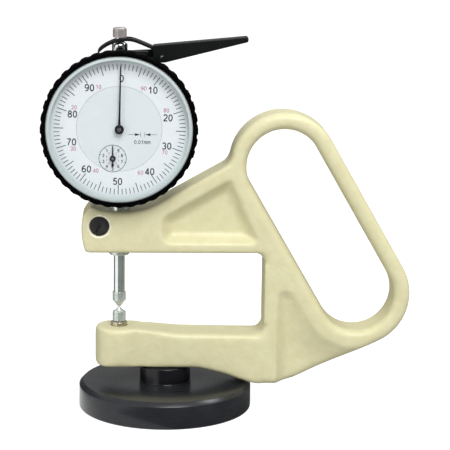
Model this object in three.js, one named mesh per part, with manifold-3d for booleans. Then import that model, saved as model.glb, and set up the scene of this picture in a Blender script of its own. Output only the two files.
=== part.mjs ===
// Dial thickness gauge: a dial indicator clamped in a cast loop-handled frame on a round base.
// Millimetres, +Z up, +X towards the handle, -Y towards the reader of the dial.
// The origin is on the measuring axis, at the height of the table.
import * as THREE from 'three';
import { mergeVertices } from 'three/addons/utils/BufferGeometryUtils.js';
import Module from 'manifold-3d';

// Clearances
const seatGap = 0.25;
const pivotGap = 0.15;
const overrun = 2;

// Base
const baseRadius = 34;
const baseThickness = 10.5;
const baseChamfer = 1.6;
const baseOffset = 18.3;
const baseFootChamfer = 0.5;
const collarRadius = 10;
const collarHeight = 6.6;
const collarChamfer = 0.5;
const baseScrewRadius = 3;
const baseScrewHeadRadius = 5;
const baseScrewHeadHeight = 6;
const baseScrewHeadSink = 1;
const baseScrewGrip = 8;
const baseScrewKeyRadius = 2.9;
const baseScrewKeyDepth = 3;

// Frame
const frameThickness = 18;
const edgeRounding = 2.6;
const castingCorner = 3;
const throatDepth = 56.6;
const throatHeight = 32.8;
const throatCorner = 4;
const lowerArmHeight = 13.3;
const anvilBossRise = 2.6;
const anvilBossRadius = 9.3;
const armWaistHalfWidth = 6.4;
const noseReach = 15.3;
const noseSlant = 2.2;
const noseHeight = 18.78;
const archRoom = 3;
const shoulderAngle = 29.5;
const webRoom = 10.5;
const loopLean = 29.5;
const loopTopRise = 34;
const loopBottomRise = 16.3;
const loopSlotRadius = 14.6;
const loopWidth = 6.4;
const keelAngle = 25.9;
const keelDrop = 6.9;
const keelRun = 2.4;
const keelSlopeShare = 0.07;
const keelFlankShare = 0.35;
const armEndRoom = 3;
const armRampStartShare = 0.6;
const armRampRiseShare = 0.2;
const castingSweep = 18.8;
const noseSweep = 22.5;
const waistLength = 3;
const waistFlare = 1;
const loopEntryAngle = 183;
const loopLeadAngle = 18;
const pocketDepth = 3;
const pocketDraft = 2.6;
const pocketRim = 4.6;
const pocketRoundness = 4;
const pocketStart = 17;
const pocketRoofAngle = 31.5;
const postWidth = 5;
const webTop = 18.5;
const slitWidth = 1.2;

// Clamp screw
const clampScrewX = -7.63;
const clampScrewRise = 10.6;
const clampHeadRadius = 3.85;
const clampHeadHeight = 3.5;
const clampHeadSink = 0.5;
const clampShankRadius = 2;
const clampShankLength = 11.5;
const clampSlotWidth = 0.8;
const clampSlotDepth = 0.9;
const clampSlotAngle = 62;

// Contacts
const contactHeight = 40.8;
const contactGap = 0.15;
const contactRadius = 2.52;
const contactBallRadius = 0.95;
const contactConeHeight = 2.4;
const contactKnurlLength = 2.9;
const knurlTeeth = 16;
const knurlDepth = 0.22;
const contactThreadRadius = 1.2;
const contactThreadLength = 5;
const bushRadius = 3.15;
const bushProud = 1.2;
const bushLength = 9.6;

// Stem and top bush
const stemRadius = 4;
const stemNeckRadius = 3.5;
const stemDrop = 1.4;
const stemChamfer = 1.3;
const lowerBushRadius = 3.1;
const lowerBushLength = 9;
const topBushNeckRadius = 2.35;
const topBushRadius = 3;
const topBushHeight = 2;
const topBushConeHeight = 1.25;
const topBushMouthRadius = 2.1;

// Spindle
const spindleRadius = 2.175;
const spindleTopRadius = 1.6;
const spindleTravel = 10;
const spindleTopReach = 2.3;
const capRadius = 2.72;
const capHeight = 4.2;
const capRoof = 1.6;
const capKnurlDepth = 0.16;
const guidePinRadius = 0.8;
const guidePinReach = 10.6;
const guidePinDrop = 4.3;

// Case
const caseRadius = 27.2;
const caseWall = 2.4;
const caseBackY = 6.5;
const caseFrontY = -10.9;
const caseStemBossRadius = 5.5;
const caseStemBossDrop = 2.4;
const caseTopBossRadius = 4.6;
const caseTopBossRise = 0.3;
const coverThickness = 1.8;
const coverScrewRadius = 0.8;
const coverScrewHeadRadius = 1.6;
const coverScrewHeadHeight = 0.7;
const coverScrewLength = 3.6;
const coverScrewInset = 3;
const coverLugRadius = 2.4;
const coverLugDepth = 2.2;

// Bezel, crystal and dial
const bezelFit = 0.35;
const bezelWall = 1.85;
const gripHeight = 0.6;
const bezelFrontY = -15.9;
const bezelDepth = 7;
const gripLobes = 40;
const shoulderWidth = 0.95;
const shoulderThickness = 0.8;
const crystalThickness = 1.2;
const crystalSink = 0.4;
const crystalLedge = 0.75;
const dialFrontY = -11.8;
const dialThickness = 0.5;
const dialCentreRadius = 16.05;
const dialFootRadius = 0.8;
const dialFootCircle = 14;

// Hands
const pointerRoom = 0.6;
const pointerHubRadius = 1.66;
const pointerRootWidth = 0.7;
const pointerTipWidth = 0.4;
const pointerThickness = 0.3;
const pointerHubHeight = 0.7;
const counterX = -2.48;
const gearRoom = 2.1;
const counterHandLength = 4.8;
const counterTailLength = 2.5;
const counterHubRadius = 1.1;
const counterTailRadius = 0.53;
const counterHandWidth = 0.4;
const counterHandThickness = 0.2;
const counterHubHeight = 0.4;

// Movement
const rackPitch = 0.625;
const rackPinionTeeth = 16;
const rackPinionLength = 2.8;
const wheelTeeth = 100;
const centrePinionTeeth = 10;
const hairspringWheelTeeth = 80;
const hairspringWheelAngle = 115;
const wheelThickness = 0.5;
const toothHeightShare = 0.9;
const toothDepthShare = 1.3;
const toothTipShare = 0.09;
const toothRootShare = 0.24;
const rackMouthShare = 0.43;
const rackFloorShare = 0.16;
const landTeeth = 20;
const rearPlateFrontY = 2.8;
const rearPlateThickness = 1.2;
const plateRoom = 1.4;
const frontPlateY = -7.2;
const frontPlateThickness = 1;
const pillarRadius = 1.5;
const pillarInset = 5.4;
const pillarEdge = 2;
const pillarRivetRadius = 1;
const plateScrewRadius = 0.7;
const plateScrewHeadRadius = 1.3;
const plateScrewHeadHeight = 0.7;
const plateScrewLength = 3;
const plateLugRadius = 2.6;
const plateLugInset = 2.2;
const plateLugDepth = 3.8;
const arborRadius = 0.9;
const centreArborRadius = 0.55;
const bridgeRoom = 4;
const bridgeHalfWidth = 2.1;
const bridgeThickness = 0.9;
const bridgeFootLength = 3;
const bridgeBackY = -2.7;
const counterGearBackY = -4.3;
const hairspringWheelBackY = -5.7;
const hairspringBackY = -4.2;
const hairspringHeight = 0.6;
const hairspringStrip = 0.16;
const hairspringTurns = 3;
const hairspringOuterRadius = 4.8;
const hairspringStudRadius = 0.5;
const guidePlateX = 6;
const guidePlateThickness = 1.2;
const guidePlateHalfDepth = 2.4;
const guideSlotHalfWidth = 1.05;
const springX = 9;
const springRadius = 1.5;
const springWire = 0.4;
const springTurns = 10;
const springPostRadius = 0.8;
const springPostRoom = 4.5;

// Lifting lever
const leverPivotX = 16.08;
const leverPivotDrop = 0.94;
const leverPinRadius = 0.8;
const leverPinHeadRadius = 1.2;
const leverPinHeadHeight = 0.5;
const leverHalfWidth = 3.6;
const paddleReach = 33.2;
const paddleRootHeight = 6.4;
const paddleTipHeight = 2;
const paddleTopShare = 0.6;
const paddleRootShare = 0.3;
const paddleTipShare = 0.92;
const paddleBellyShares = [[-0.2, -0.42], [0.15, -0.38]];
const forkThickness = 1.15;
const forkGap = 1.95;
const forkOverrunShare = 0.3;
const forkCrownShares = [[0.09, -0.27], [0.2, -0.2], [0.31, -0.09], [0.53, 0.23], [0.77, 0.6]];
const bracketThickness = 0.9;
const bracketHalfWidth = 4.2;
const bracketReach = 10.9;

// Heights along the measuring axis
const lowerArmBottomZ = baseThickness + collarHeight;
const throatFloorZ = lowerArmBottomZ + lowerArmHeight;
const throatRoofZ = throatFloorZ + throatHeight;
const anvilBossTopZ = throatFloorZ + anvilBossRise;
const halfThickness = frameThickness / 2;
const noseX = -noseReach + noseSlant;

// Radii around the dial centre, from the case outwards and inwards
const bezelBore = caseRadius + bezelFit;
const bezelValleyRadius = bezelBore + bezelWall;
const bezelRadius = bezelValleyRadius + gripHeight;
const archRadius = bezelRadius + archRoom;
const dialZ = throatRoofZ + noseHeight + Math.sqrt(archRadius ** 2 - noseX ** 2);
const caseInnerRadius = caseRadius - caseWall;
const coverScrewCircle = caseRadius - coverScrewInset;
const rearPlateRadius = caseInnerRadius - plateRoom;
const plateLugCircle = rearPlateRadius - plateLugInset;
const pillarCircle = rearPlateRadius - pillarInset;
const frontPlateRadius = pillarCircle + pillarEdge;
const pointerLength = caseInnerRadius - pointerRoom;
const counterDrop = (caseInnerRadius - gearRoom) / 2;
const bridgeHalfSpan = pillarCircle - bridgeRoom;

const wideFacets = 48;
const facets = 24;
const smallFacets = 12;
const degree = Math.PI / 180;

const brass = { color: 0xb99a55, roughness: 0.35, metalness: 1 };
const chrome = { color: 0xc9cfd0, roughness: 0.18, metalness: 1 };
const steel = { color: 0xa9adb0, roughness: 0.3, metalness: 1 };
const black = { color: 0x1a1b1d, roughness: 0.4, metalness: 0.2 };
const cream = { color: 0xdedab0, roughness: 0.45, metalness: 0 };
const white = { color: 0xe6eaec, roughness: 0.5, metalness: 0 };

const wasm = await Module();
wasm.setup();

function toSolid(geometry) {
  const bare = geometry.index ? geometry.toNonIndexed() : geometry.clone();
  bare.deleteAttribute('normal');
  bare.deleteAttribute('uv');
  const merged = mergeVertices(bare);
  return new wasm.Manifold(new wasm.Mesh({
    numProp: 3,
    vertProperties: Float32Array.from(merged.attributes.position.array),
    triVerts: Uint32Array.from(merged.index.array),
  }));
}

function toGeometry(solid) {
  const mesh = solid.getMesh();
  const geometry = new THREE.BufferGeometry();
  geometry.setAttribute('position', new THREE.BufferAttribute(mesh.vertProperties, 3));
  geometry.setIndex(new THREE.BufferAttribute(mesh.triVerts, 1));
  return geometry;
}

function cut(body, ...tools) {
  let solid = toSolid(body);
  for (const tool of tools) {
    solid = solid.subtract(toSolid(tool));
  }
  return toGeometry(solid);
}

function join(...bodies) {
  let solid = toSolid(bodies[0]);
  for (const body of bodies.slice(1)) {
    solid = solid.add(toSolid(body));
  }
  return toGeometry(solid);
}

// A cylinder along Y between two depths, centred on (x, z).
function rodY(radius, x, z, fromY, toY, segments = smallFacets) {
  const length = Math.abs(toY - fromY);
  return new THREE.CylinderGeometry(radius, radius, length, segments).translate(x, (fromY + toY) / 2, z);
}

// A cylinder along Z between two heights, centred on (x, 0).
function rodZ(radius, x, fromZ, toZ, segments = facets) {
  return new THREE.CylinderGeometry(radius, radius, toZ - fromZ, segments)
    .rotateX(Math.PI / 2).translate(x, 0, (fromZ + toZ) / 2);
}

// A turned piece around the Z line through x, from [radius, height] pairs.
function turnedZ(profile, x = 0, segments = facets) {
  const points = profile.map(([radius, z]) => new THREE.Vector2(radius, z));
  return new THREE.LatheGeometry(points, segments).rotateX(Math.PI / 2).translate(x, 0, 0);
}

// A turned piece around the Y line through the dial centre, from [radius, depth] pairs.
function turnedY(profile, segments = wideFacets) {
  const points = profile.map(([radius, y]) => new THREE.Vector2(radius, y));
  return new THREE.LatheGeometry(points, segments).translate(0, 0, dialZ);
}

// A flat piece with its outline in X and Z, from its back plane towards the front.
function plateY(outline, backY, thickness, holes = []) {
  const shape = new THREE.Shape(outline.map(([x, z]) => new THREE.Vector2(x, z)));
  for (const hole of holes) {
    shape.holes.push(new THREE.Path(hole.map(([x, z]) => new THREE.Vector2(x, z))));
  }
  return new THREE.ExtrudeGeometry(shape, { depth: thickness, bevelEnabled: false, steps: 1 })
    .rotateX(Math.PI / 2).translate(0, backY, 0);
}

function circle(radius, x, z, segments = smallFacets) {
  const points = [];
  for (let i = 0; i < segments; i += 1) {
    const angle = 2 * Math.PI * i / segments;
    points.push([x + radius * Math.cos(angle), z + radius * Math.sin(angle)]);
  }
  return points;
}

// Points of an arc around (x, z); angles in degrees.
function arc(x, z, radius, from, to, steps) {
  const points = [];
  for (let i = 0; i <= steps; i += 1) {
    const angle = (from + (to - from) * i / steps) * degree;
    points.push([x + radius * Math.cos(angle), z + radius * Math.sin(angle)]);
  }
  return points;
}

// An outline whose third numbers round its corners.
function rounded(corners, steps = 3) {
  const points = [];
  corners.forEach(([x, z, radius = 0], i) => {
    const [px, pz] = corners[(i + corners.length - 1) % corners.length];
    const [nx, nz] = corners[(i + 1) % corners.length];
    const corner = new THREE.Vector2(x, z);
    const before = new THREE.Vector2(px, pz).sub(corner).normalize();
    const after = new THREE.Vector2(nx, nz).sub(corner).normalize();
    const half = Math.acos(THREE.MathUtils.clamp(before.dot(after), -1, 1)) / 2;
    if (radius === 0 || Math.PI / 2 - half < degree) {
      points.push([x, z]);
      return;
    }
    const middle = before.clone().add(after).normalize().multiplyScalar(radius / Math.sin(half));
    const centre = corner.clone().add(middle);
    const start = before.multiplyScalar(radius / Math.tan(half)).add(corner).sub(centre);
    const end = after.multiplyScalar(radius / Math.tan(half)).add(corner).sub(centre);
    const from = start.angle();
    let sweep = end.angle() - from;
    if (sweep > Math.PI) {
      sweep -= 2 * Math.PI;
    }
    if (sweep < -Math.PI) {
      sweep += 2 * Math.PI;
    }
    for (let step = 0; step <= steps; step += 1) {
      const angle = from + sweep * step / steps;
      points.push([centre.x + radius * Math.cos(angle), centre.y + radius * Math.sin(angle)]);
    }
  });
  return points;
}

// A gear outline with straight flanks; pinion teeth have a land, wheel teeth come to a point.
function gearOutline(teeth, module, x, z, turn) {
  const points = [];
  const pitchRadius = teeth * module / 2;
  const tip = pitchRadius + toothHeightShare * module;
  const root = pitchRadius - toothDepthShare * module;
  const pitchAngle = 2 * Math.PI / teeth;
  const pinionTooth = [
    [root, -toothRootShare], [tip, -toothTipShare], [tip, toothTipShare], [root, toothRootShare]];
  const tooth = teeth > landTeeth ? [[tip, 0], [root, 0.5]] : pinionTooth;
  for (let i = 0; i < teeth; i += 1) {
    const middle = turn + i * pitchAngle;
    for (const [radius, share] of tooth) {
      const angle = middle + share * pitchAngle;
      points.push([x + radius * Math.cos(angle), z + radius * Math.sin(angle)]);
    }
  }
  return points;
}

const group = new THREE.Group();

function add(name, geometry, finish) {
  const mesh = new THREE.Mesh(geometry, new THREE.MeshStandardMaterial(finish));
  mesh.name = name;
  group.add(mesh);
}

// Base, collar and their screw
function addBase() {
  const bore = baseScrewRadius + seatGap;
  const headBore = baseScrewHeadRadius + seatGap;
  const headTop = baseScrewHeadSink + baseScrewHeadHeight;
  add('base_disc', turnedZ([
    [headBore, 0], [baseRadius - baseFootChamfer, 0], [baseRadius, baseFootChamfer],
    [baseRadius, baseThickness - baseChamfer], [baseRadius - baseChamfer, baseThickness],
    [bore, baseThickness], [bore, headTop], [headBore, headTop], [headBore, 0]],
  baseOffset, wideFacets), black);
  add('base_collar', turnedZ([
    [bore, baseThickness], [collarRadius, baseThickness],
    [collarRadius, lowerArmBottomZ - collarChamfer], [collarRadius - collarChamfer, lowerArmBottomZ],
    [bore, lowerArmBottomZ], [bore, baseThickness]], baseOffset), black);
  const screw = turnedZ([
    [0, baseScrewHeadSink], [baseScrewHeadRadius, baseScrewHeadSink], [baseScrewHeadRadius, headTop],
    [baseScrewRadius, headTop], [baseScrewRadius, lowerArmBottomZ + baseScrewGrip],
    [0, lowerArmBottomZ + baseScrewGrip]], baseOffset);
  const key = new THREE.CylinderGeometry(
    baseScrewKeyRadius, baseScrewKeyRadius, baseScrewKeyDepth + overrun, 6)
    .rotateX(Math.PI / 2)
    .translate(baseOffset, 0, baseScrewHeadSink + (baseScrewKeyDepth - overrun) / 2);
  add('base_screw', cut(screw, key), steel);
}

// Frame casting
const loopBottomX = throatDepth + postWidth + webRoom + loopWidth + loopSlotRadius;
const loopTop = [loopBottomX - loopLean, throatRoofZ + loopTopRise];
const loopBottom = [loopBottomX, throatFloorZ + loopBottomRise];
const keelX = throatDepth + keelRun;
const loopTilt = Math.atan2(loopBottom[0] - loopTop[0], loopTop[1] - loopBottom[1]) / degree;
const loopRadius = loopSlotRadius + loopWidth;
const keelZ = lowerArmBottomZ - keelDrop;

function frameOutline() {
  const arch = arc(0, dialZ, archRadius, -102, shoulderAngle - 90, 8);
  const [archEndX, archEndZ] = arch[arch.length - 1];
  const shoulderSlope = Math.tan(shoulderAngle * degree);
  const entryX = loopTop[0] + loopRadius * Math.cos(loopEntryAngle * degree);
  const shoulder = [entryX, archEndZ + (entryX - archEndX) * shoulderSlope, loopWidth];
  const topArc = arc(...loopTop, loopRadius, loopEntryAngle - loopLeadAngle, loopTilt, 13);
  const bottomArc = arc(...loopBottom, loopRadius, loopTilt, keelAngle - 90, 9);
  const [footX, footZ] = bottomArc[bottomArc.length - 1];
  const keelEndX = footX - (footZ - keelZ) / Math.tan(keelAngle * degree);
  const armEndX = baseOffset + collarRadius + armEndRoom;
  const keelFlankX = armEndX + keelFlankShare * (keelX - armEndX);
  const keelFlankZ = lowerArmBottomZ - keelFlankShare * keelDrop;
  const armRampX = armRampStartShare * anvilBossRadius;
  const armFlatX = baseOffset + collarRadius / 2;
  return rounded([
    [noseX, throatRoofZ, castingCorner],
    [-noseReach, throatRoofZ + noseHeight / 2, noseSweep],
    [noseX, throatRoofZ + noseHeight, castingCorner],
    ...arch,
    shoulder,
    ...topArc,
    ...bottomArc,
    [keelEndX, keelZ, castingSweep],
    [keelX - keelDrop, keelZ + keelSlopeShare * keelDrop, castingSweep],
    [keelFlankX, keelFlankZ, castingSweep],
    [armEndX, lowerArmBottomZ, castingSweep],
    [-anvilBossRadius, lowerArmBottomZ, castingCorner],
    [-anvilBossRadius, anvilBossTopZ, castingCorner],
    [armRampX, anvilBossTopZ, castingSweep],
    [armFlatX, throatFloorZ + armRampRiseShare * anvilBossRise, castingSweep],
    [throatDepth, throatFloorZ, throatCorner],
    [throatDepth, throatRoofZ, throatCorner],
  ]);
}

function slotOutline() {
  return [
    ...arc(...loopTop, loopSlotRadius, loopTilt, loopTilt + 180, 14),
    ...arc(...loopBottom, loopSlotRadius, loopTilt + 180, loopTilt + 360, 14)];
}

// A cutter that enters the front or back face of the casting and narrows towards its floor.
function pocketCutter(outline, side) {
  const shape = new THREE.Shape(outline.map(([x, z]) => new THREE.Vector2(x, z)));
  const cutter = new THREE.ExtrudeGeometry(shape, {
    depth: overrun, bevelEnabled: true, bevelThickness: pocketDepth,
    bevelSize: pocketDraft, bevelOffset: -pocketDraft, bevelSegments: 3, steps: 1 });
  const faceY = side * halfThickness;
  return cutter.rotateX(Math.PI / 2).translate(0, side > 0 ? faceY + overrun : faceY, 0);
}

// The triangle under the shoulder; its right side follows the loop.
function upperPocket() {
  const away = loopRadius + pocketDraft;
  const normal = [-Math.cos(loopTilt * degree), -Math.sin(loopTilt * degree)];
  const sideSlope = Math.tan(loopTilt * degree);
  const sideX = loopTop[0] + away * normal[0];
  const sideZ = loopTop[1] + away * normal[1];
  const floorZ = throatRoofZ + pocketRim;
  const slope = Math.tan(pocketRoofAngle * degree);
  const leftTopZ = floorZ + noseHeight / 2;
  const topX = (sideX + (sideZ - leftTopZ + pocketStart * slope) * sideSlope) / (1 + slope * sideSlope);
  return rounded([
    [pocketStart, floorZ, pocketRoundness],
    [sideX + (sideZ - floorZ) * sideSlope, floorZ, castingCorner],
    [topX, leftTopZ + (topX - pocketStart) * slope, castingCorner],
    [pocketStart, leftTopZ, pocketRoundness]]);
}

// The recess between the post and the loop; it runs out through the lower edge.
function lowerPocket() {
  const postX = throatDepth + postWidth;
  const arcRadius = loopRadius + pocketDraft / 2;
  const ring = arc(...loopBottom, arcRadius, 260, 190, 7);
  return rounded([
    [postX, keelZ - frameThickness, 0],
    [ring[0][0] + loopRadius, keelZ - frameThickness, 0],
    [ring[0][0] + loopRadius, ring[0][1], 0],
    ...ring,
    [postX + 2 * pocketDraft, throatFloorZ + webTop, castingCorner],
    [postX, throatFloorZ + webTop, castingCorner]]);
}

// What the lower arm lacks on one side of its round boss and its waist, seen from above.
function armCutter(side) {
  const waistX = anvilBossRadius;
  const flare = [baseOffset + collarRadius, halfThickness];
  const bossArc = arc(0, 0, anvilBossRadius, 180, 42, 10);
  const outline = [
    [-noseReach, 0], ...bossArc,
    [waistX, armWaistHalfWidth], [waistX + waistLength, armWaistHalfWidth + waistFlare],
    flare, [flare[0], frameThickness], [-noseReach, frameThickness]];
  const points = outline.map(([x, y]) => new THREE.Vector2(x, side * y));
  const fromZ = lowerArmBottomZ - overrun;
  return new THREE.ExtrudeGeometry(new THREE.Shape(points), {
    depth: anvilBossTopZ + overrun - fromZ, bevelEnabled: false }).translate(0, 0, fromZ);
}

function addFrame() {
  const shape = new THREE.Shape(frameOutline().map(([x, z]) => new THREE.Vector2(x, z)));
  shape.holes.push(new THREE.Path(slotOutline().map(([x, z]) => new THREE.Vector2(x, z))));
  const body = new THREE.ExtrudeGeometry(shape, {
    depth: frameThickness - 2 * edgeRounding, bevelEnabled: true, bevelThickness: edgeRounding,
    bevelSize: edgeRounding, bevelOffset: -edgeRounding, bevelSegments: 2, steps: 1 })
    .rotateX(Math.PI / 2).translate(0, halfThickness - edgeRounding, 0);
  const clampZ = throatRoofZ + clampScrewRise;
  const headFloorY = -halfThickness + clampHeadSink + clampHeadHeight + seatGap;
  const slitLength = noseReach + overrun;
  const slit = new THREE.BoxGeometry(slitLength, slitWidth, noseHeight + 2 * overrun)
    .translate(-slitLength / 2, 0, throatRoofZ + noseHeight / 2);
  add('frame', cut(
    body,
    pocketCutter(upperPocket(), 1), pocketCutter(upperPocket(), -1),
    pocketCutter(lowerPocket(), 1), pocketCutter(lowerPocket(), -1),
    armCutter(1), armCutter(-1),
    rodZ(stemRadius + seatGap, 0, throatRoofZ - overrun, throatRoofZ + noseHeight + overrun),
    slit,
    rodY(clampHeadRadius + seatGap, clampScrewX, clampZ, -halfThickness - overrun, headFloorY, facets),
    rodY(clampShankRadius + seatGap, clampScrewX, clampZ, headFloorY - seatGap, halfThickness + overrun),
    rodZ(bushRadius + seatGap, 0, anvilBossTopZ + bushProud - bushLength - seatGap,
      anvilBossTopZ + overrun),
    rodZ(baseScrewRadius + seatGap, baseOffset, lowerArmBottomZ - overrun,
      lowerArmBottomZ + baseScrewGrip + seatGap),
  ), cream);
}

function addClampScrew() {
  const z = throatRoofZ + clampScrewRise;
  const frontY = -halfThickness + clampHeadSink;
  const backY = frontY + clampHeadHeight;
  const slot = new THREE.BoxGeometry(3 * clampHeadRadius, 2 * clampSlotDepth, clampSlotWidth)
    .rotateY(-clampSlotAngle * degree).translate(clampScrewX, frontY, z);
  add('clamp_screw', cut(join(
    rodY(clampHeadRadius, clampScrewX, z, frontY, backY, facets),
    rodY(clampShankRadius, clampScrewX, z, backY - overrun, backY + clampShankLength)), slot), black);
}

// A knurled ring of straight teeth around the Z axis.
function knurl(radius, depth, fromZ, toZ) {
  const outline = [];
  for (let i = 0; i < knurlTeeth; i += 1) {
    for (const [share, r] of [[0, radius], [0.5, radius - depth]]) {
      const angle = 2 * Math.PI * (i + share) / knurlTeeth;
      outline.push(new THREE.Vector2(r * Math.cos(angle), r * Math.sin(angle)));
    }
  }
  return new THREE.ExtrudeGeometry(new THREE.Shape(outline), {
    depth: toZ - fromZ, bevelEnabled: false }).translate(0, 0, fromZ);
}

// The ball nose of a contact, pointing along side from the contact plane.
function ballNose(side) {
  const tipZ = contactHeight + side * contactGap / 2;
  const ballZ = tipZ + side * contactBallRadius;
  const coneTopZ = tipZ + side * contactConeHeight;
  const neck = contactRadius - knurlDepth;
  const profile = [[0, tipZ]];
  for (const angle of [30, 60, 85]) {
    profile.push([
      contactBallRadius * Math.sin(angle * degree),
      ballZ - side * contactBallRadius * Math.cos(angle * degree)]);
  }
  profile.push([neck, coneTopZ], [neck, coneTopZ + side * seatGap], [0, coneTopZ + side * seatGap]);
  if (side < 0) {
    profile.reverse();
  }
  return turnedZ(profile, 0, 2 * knurlTeeth);
}

const contactTopZ = contactHeight + contactConeHeight + contactKnurlLength;
const capBottomZ = dialZ + caseRadius + caseTopBossRise + bracketThickness
  + topBushHeight + topBushConeHeight + forkThickness + 2 * seatGap;

function addContacts() {
  const bushTopZ = anvilBossTopZ + bushProud;
  const threadBore = contactThreadRadius + seatGap;
  add('anvil_bush', turnedZ([
    [threadBore, bushTopZ - bushLength], [bushRadius, bushTopZ - bushLength],
    [bushRadius, bushTopZ - seatGap], [bushRadius - seatGap, bushTopZ],
    [threadBore, bushTopZ], [threadBore, bushTopZ - bushLength]]), brass);
  const anvilKnurlTopZ = contactHeight - contactConeHeight;
  const anvilKnurlFootZ = bushTopZ + seatGap;
  add('anvil_tip', join(
    ballNose(-1),
    knurl(contactRadius, knurlDepth, anvilKnurlFootZ, anvilKnurlTopZ - seatGap / 2),
    rodZ(contactThreadRadius, 0, bushTopZ - contactThreadLength, anvilKnurlTopZ - seatGap)), chrome);
  add('contact_tip', join(
    ballNose(1),
    knurl(contactRadius, knurlDepth, contactHeight + contactConeHeight + seatGap / 2, contactTopZ),
    rodZ(contactThreadRadius, 0, contactHeight + contactConeHeight + seatGap,
      contactTopZ + contactThreadLength)), chrome);
}

// Stem, its bush and the bush on top of the case
const stemBottomZ = throatRoofZ - stemDrop;
const caseStemBossZ = dialZ - caseRadius - caseStemBossDrop;
const bracketBottomZ = dialZ + caseRadius + caseTopBossRise;
const bracketTopZ = bracketBottomZ + bracketThickness;

function addStem() {
  const bore = lowerBushRadius + seatGap;
  const bushTop = stemBottomZ + lowerBushLength;
  const innerBore = spindleRadius + 2 * seatGap;
  const stemTopZ = caseStemBossZ + caseStemBossDrop + caseWall;
  add('stem', turnedZ([
    [bore, stemBottomZ], [stemRadius - stemChamfer + stemRadius - bore, stemBottomZ],
    [stemRadius, stemBottomZ + stemChamfer], [stemRadius, caseStemBossZ - seatGap],
    [stemNeckRadius, caseStemBossZ - seatGap], [stemNeckRadius, stemTopZ], [innerBore, stemTopZ],
    [innerBore, bushTop + seatGap], [bore, bushTop + seatGap], [bore, stemBottomZ]]), chrome);
  const sliding = spindleRadius + pivotGap;
  add('lower_bush', turnedZ([
    [sliding, stemBottomZ], [lowerBushRadius, stemBottomZ], [lowerBushRadius, bushTop],
    [sliding, bushTop], [sliding, stemBottomZ]]), brass);
  const neckFootZ = dialZ + caseInnerRadius;
  const topSliding = spindleTopRadius + pivotGap;
  const headTopZ = bracketTopZ + topBushHeight;
  add('top_bush', turnedZ([
    [topSliding, neckFootZ], [topBushNeckRadius, neckFootZ], [topBushNeckRadius, bracketTopZ],
    [topBushRadius, bracketTopZ], [topBushRadius, headTopZ],
    [topBushMouthRadius, headTopZ + topBushConeHeight], [topSliding, headTopZ + topBushConeHeight],
    [topSliding, neckFootZ]]), chrome);
}

// Spindle with its rack, cap and guide pin
const rackModule = rackPitch / Math.PI;
const rackPinionRadius = rackPinionTeeth * rackModule / 2;
const rackLineX = counterX + rackPinionRadius;
const counterZ = dialZ - counterDrop;
const guidePinZ = dialZ - guidePinDrop;
const spindleShoulderZ = guidePinZ + 3 * guidePinRadius;

// The space in front of the rack teeth, as an outline in X and Z.
function rackCutter() {
  const crestX = rackLineX - toothHeightShare * rackModule;
  const valleyX = rackLineX + toothDepthShare * rackModule;
  const topZ = counterZ + rackPinionRadius + 2 * rackModule;
  const bottomZ = counterZ - spindleTravel - rackPinionRadius - 2 * rackModule;
  const outline = [[-2 * spindleRadius, bottomZ], [crestX, bottomZ]];
  const first = Math.ceil((bottomZ - counterZ) / rackPitch + 0.5);
  const last = Math.floor((topZ - counterZ) / rackPitch - 0.5);
  for (let i = first; i <= last; i += 1) {
    const z = counterZ + i * rackPitch;
    outline.push(
      [crestX, z - rackMouthShare * rackPitch], [valleyX, z - rackFloorShare * rackPitch],
      [valleyX, z + rackFloorShare * rackPitch], [crestX, z + rackMouthShare * rackPitch]);
  }
  outline.push([crestX, topZ], [-2 * spindleRadius, topZ]);
  return plateY(outline, 2 * spindleRadius, 4 * spindleRadius);
}

function addSpindle() {
  const spindleTopZ = capBottomZ + spindleTopReach;
  const threadBore = contactThreadRadius + seatGap;
  const threadDepth = contactThreadLength + seatGap;
  const footZ = contactTopZ;
  const body = turnedZ([
    [0, footZ], [spindleRadius, footZ], [spindleRadius, spindleShoulderZ],
    [spindleTopRadius, spindleShoulderZ], [spindleTopRadius, spindleTopZ], [0, spindleTopZ]]);
  const pinBore = new THREE.CylinderGeometry(
    guidePinRadius + seatGap, guidePinRadius + seatGap, 2 * spindleRadius, smallFacets)
    .rotateZ(Math.PI / 2).translate(spindleRadius, 0, guidePinZ);
  add('spindle', cut(
    body, rodZ(threadBore, 0, footZ - overrun, footZ + threadDepth, smallFacets), rackCutter(),
    pinBore), steel);
  add('guide_pin', new THREE.CylinderGeometry(guidePinRadius, guidePinRadius, guidePinReach, smallFacets)
    .rotateZ(Math.PI / 2).translate(guidePinReach / 2 + seatGap, 0, guidePinZ), steel);
  const capTopZ = capBottomZ + capHeight;
  const bore = rodZ(
    spindleTopRadius + seatGap, 0, capBottomZ - overrun, capTopZ - capRoof);
  const capRing = knurl(capRadius, capKnurlDepth, capBottomZ, capTopZ - capRoof / 2);
  const roof = turnedZ([
    [0, capTopZ - capRoof], [capRadius - capKnurlDepth, capTopZ - capRoof],
    [capRadius - capKnurlDepth, capTopZ - capRoof / 2], [capRadius - capRoof / 2, capTopZ],
    [0, capTopZ]], 0, 2 * knurlTeeth);
  add('spindle_cap', cut(join(capRing, roof), bore), chrome);
}

// Case with its lugs, and the back cover
const coverScrewAngles = [60, 120, 240, 300];
const plateLugAngles = [30, 150, 225];

function polar(radius, angle) {
  return [radius * Math.cos(angle * degree), dialZ + radius * Math.sin(angle * degree)];
}

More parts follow.
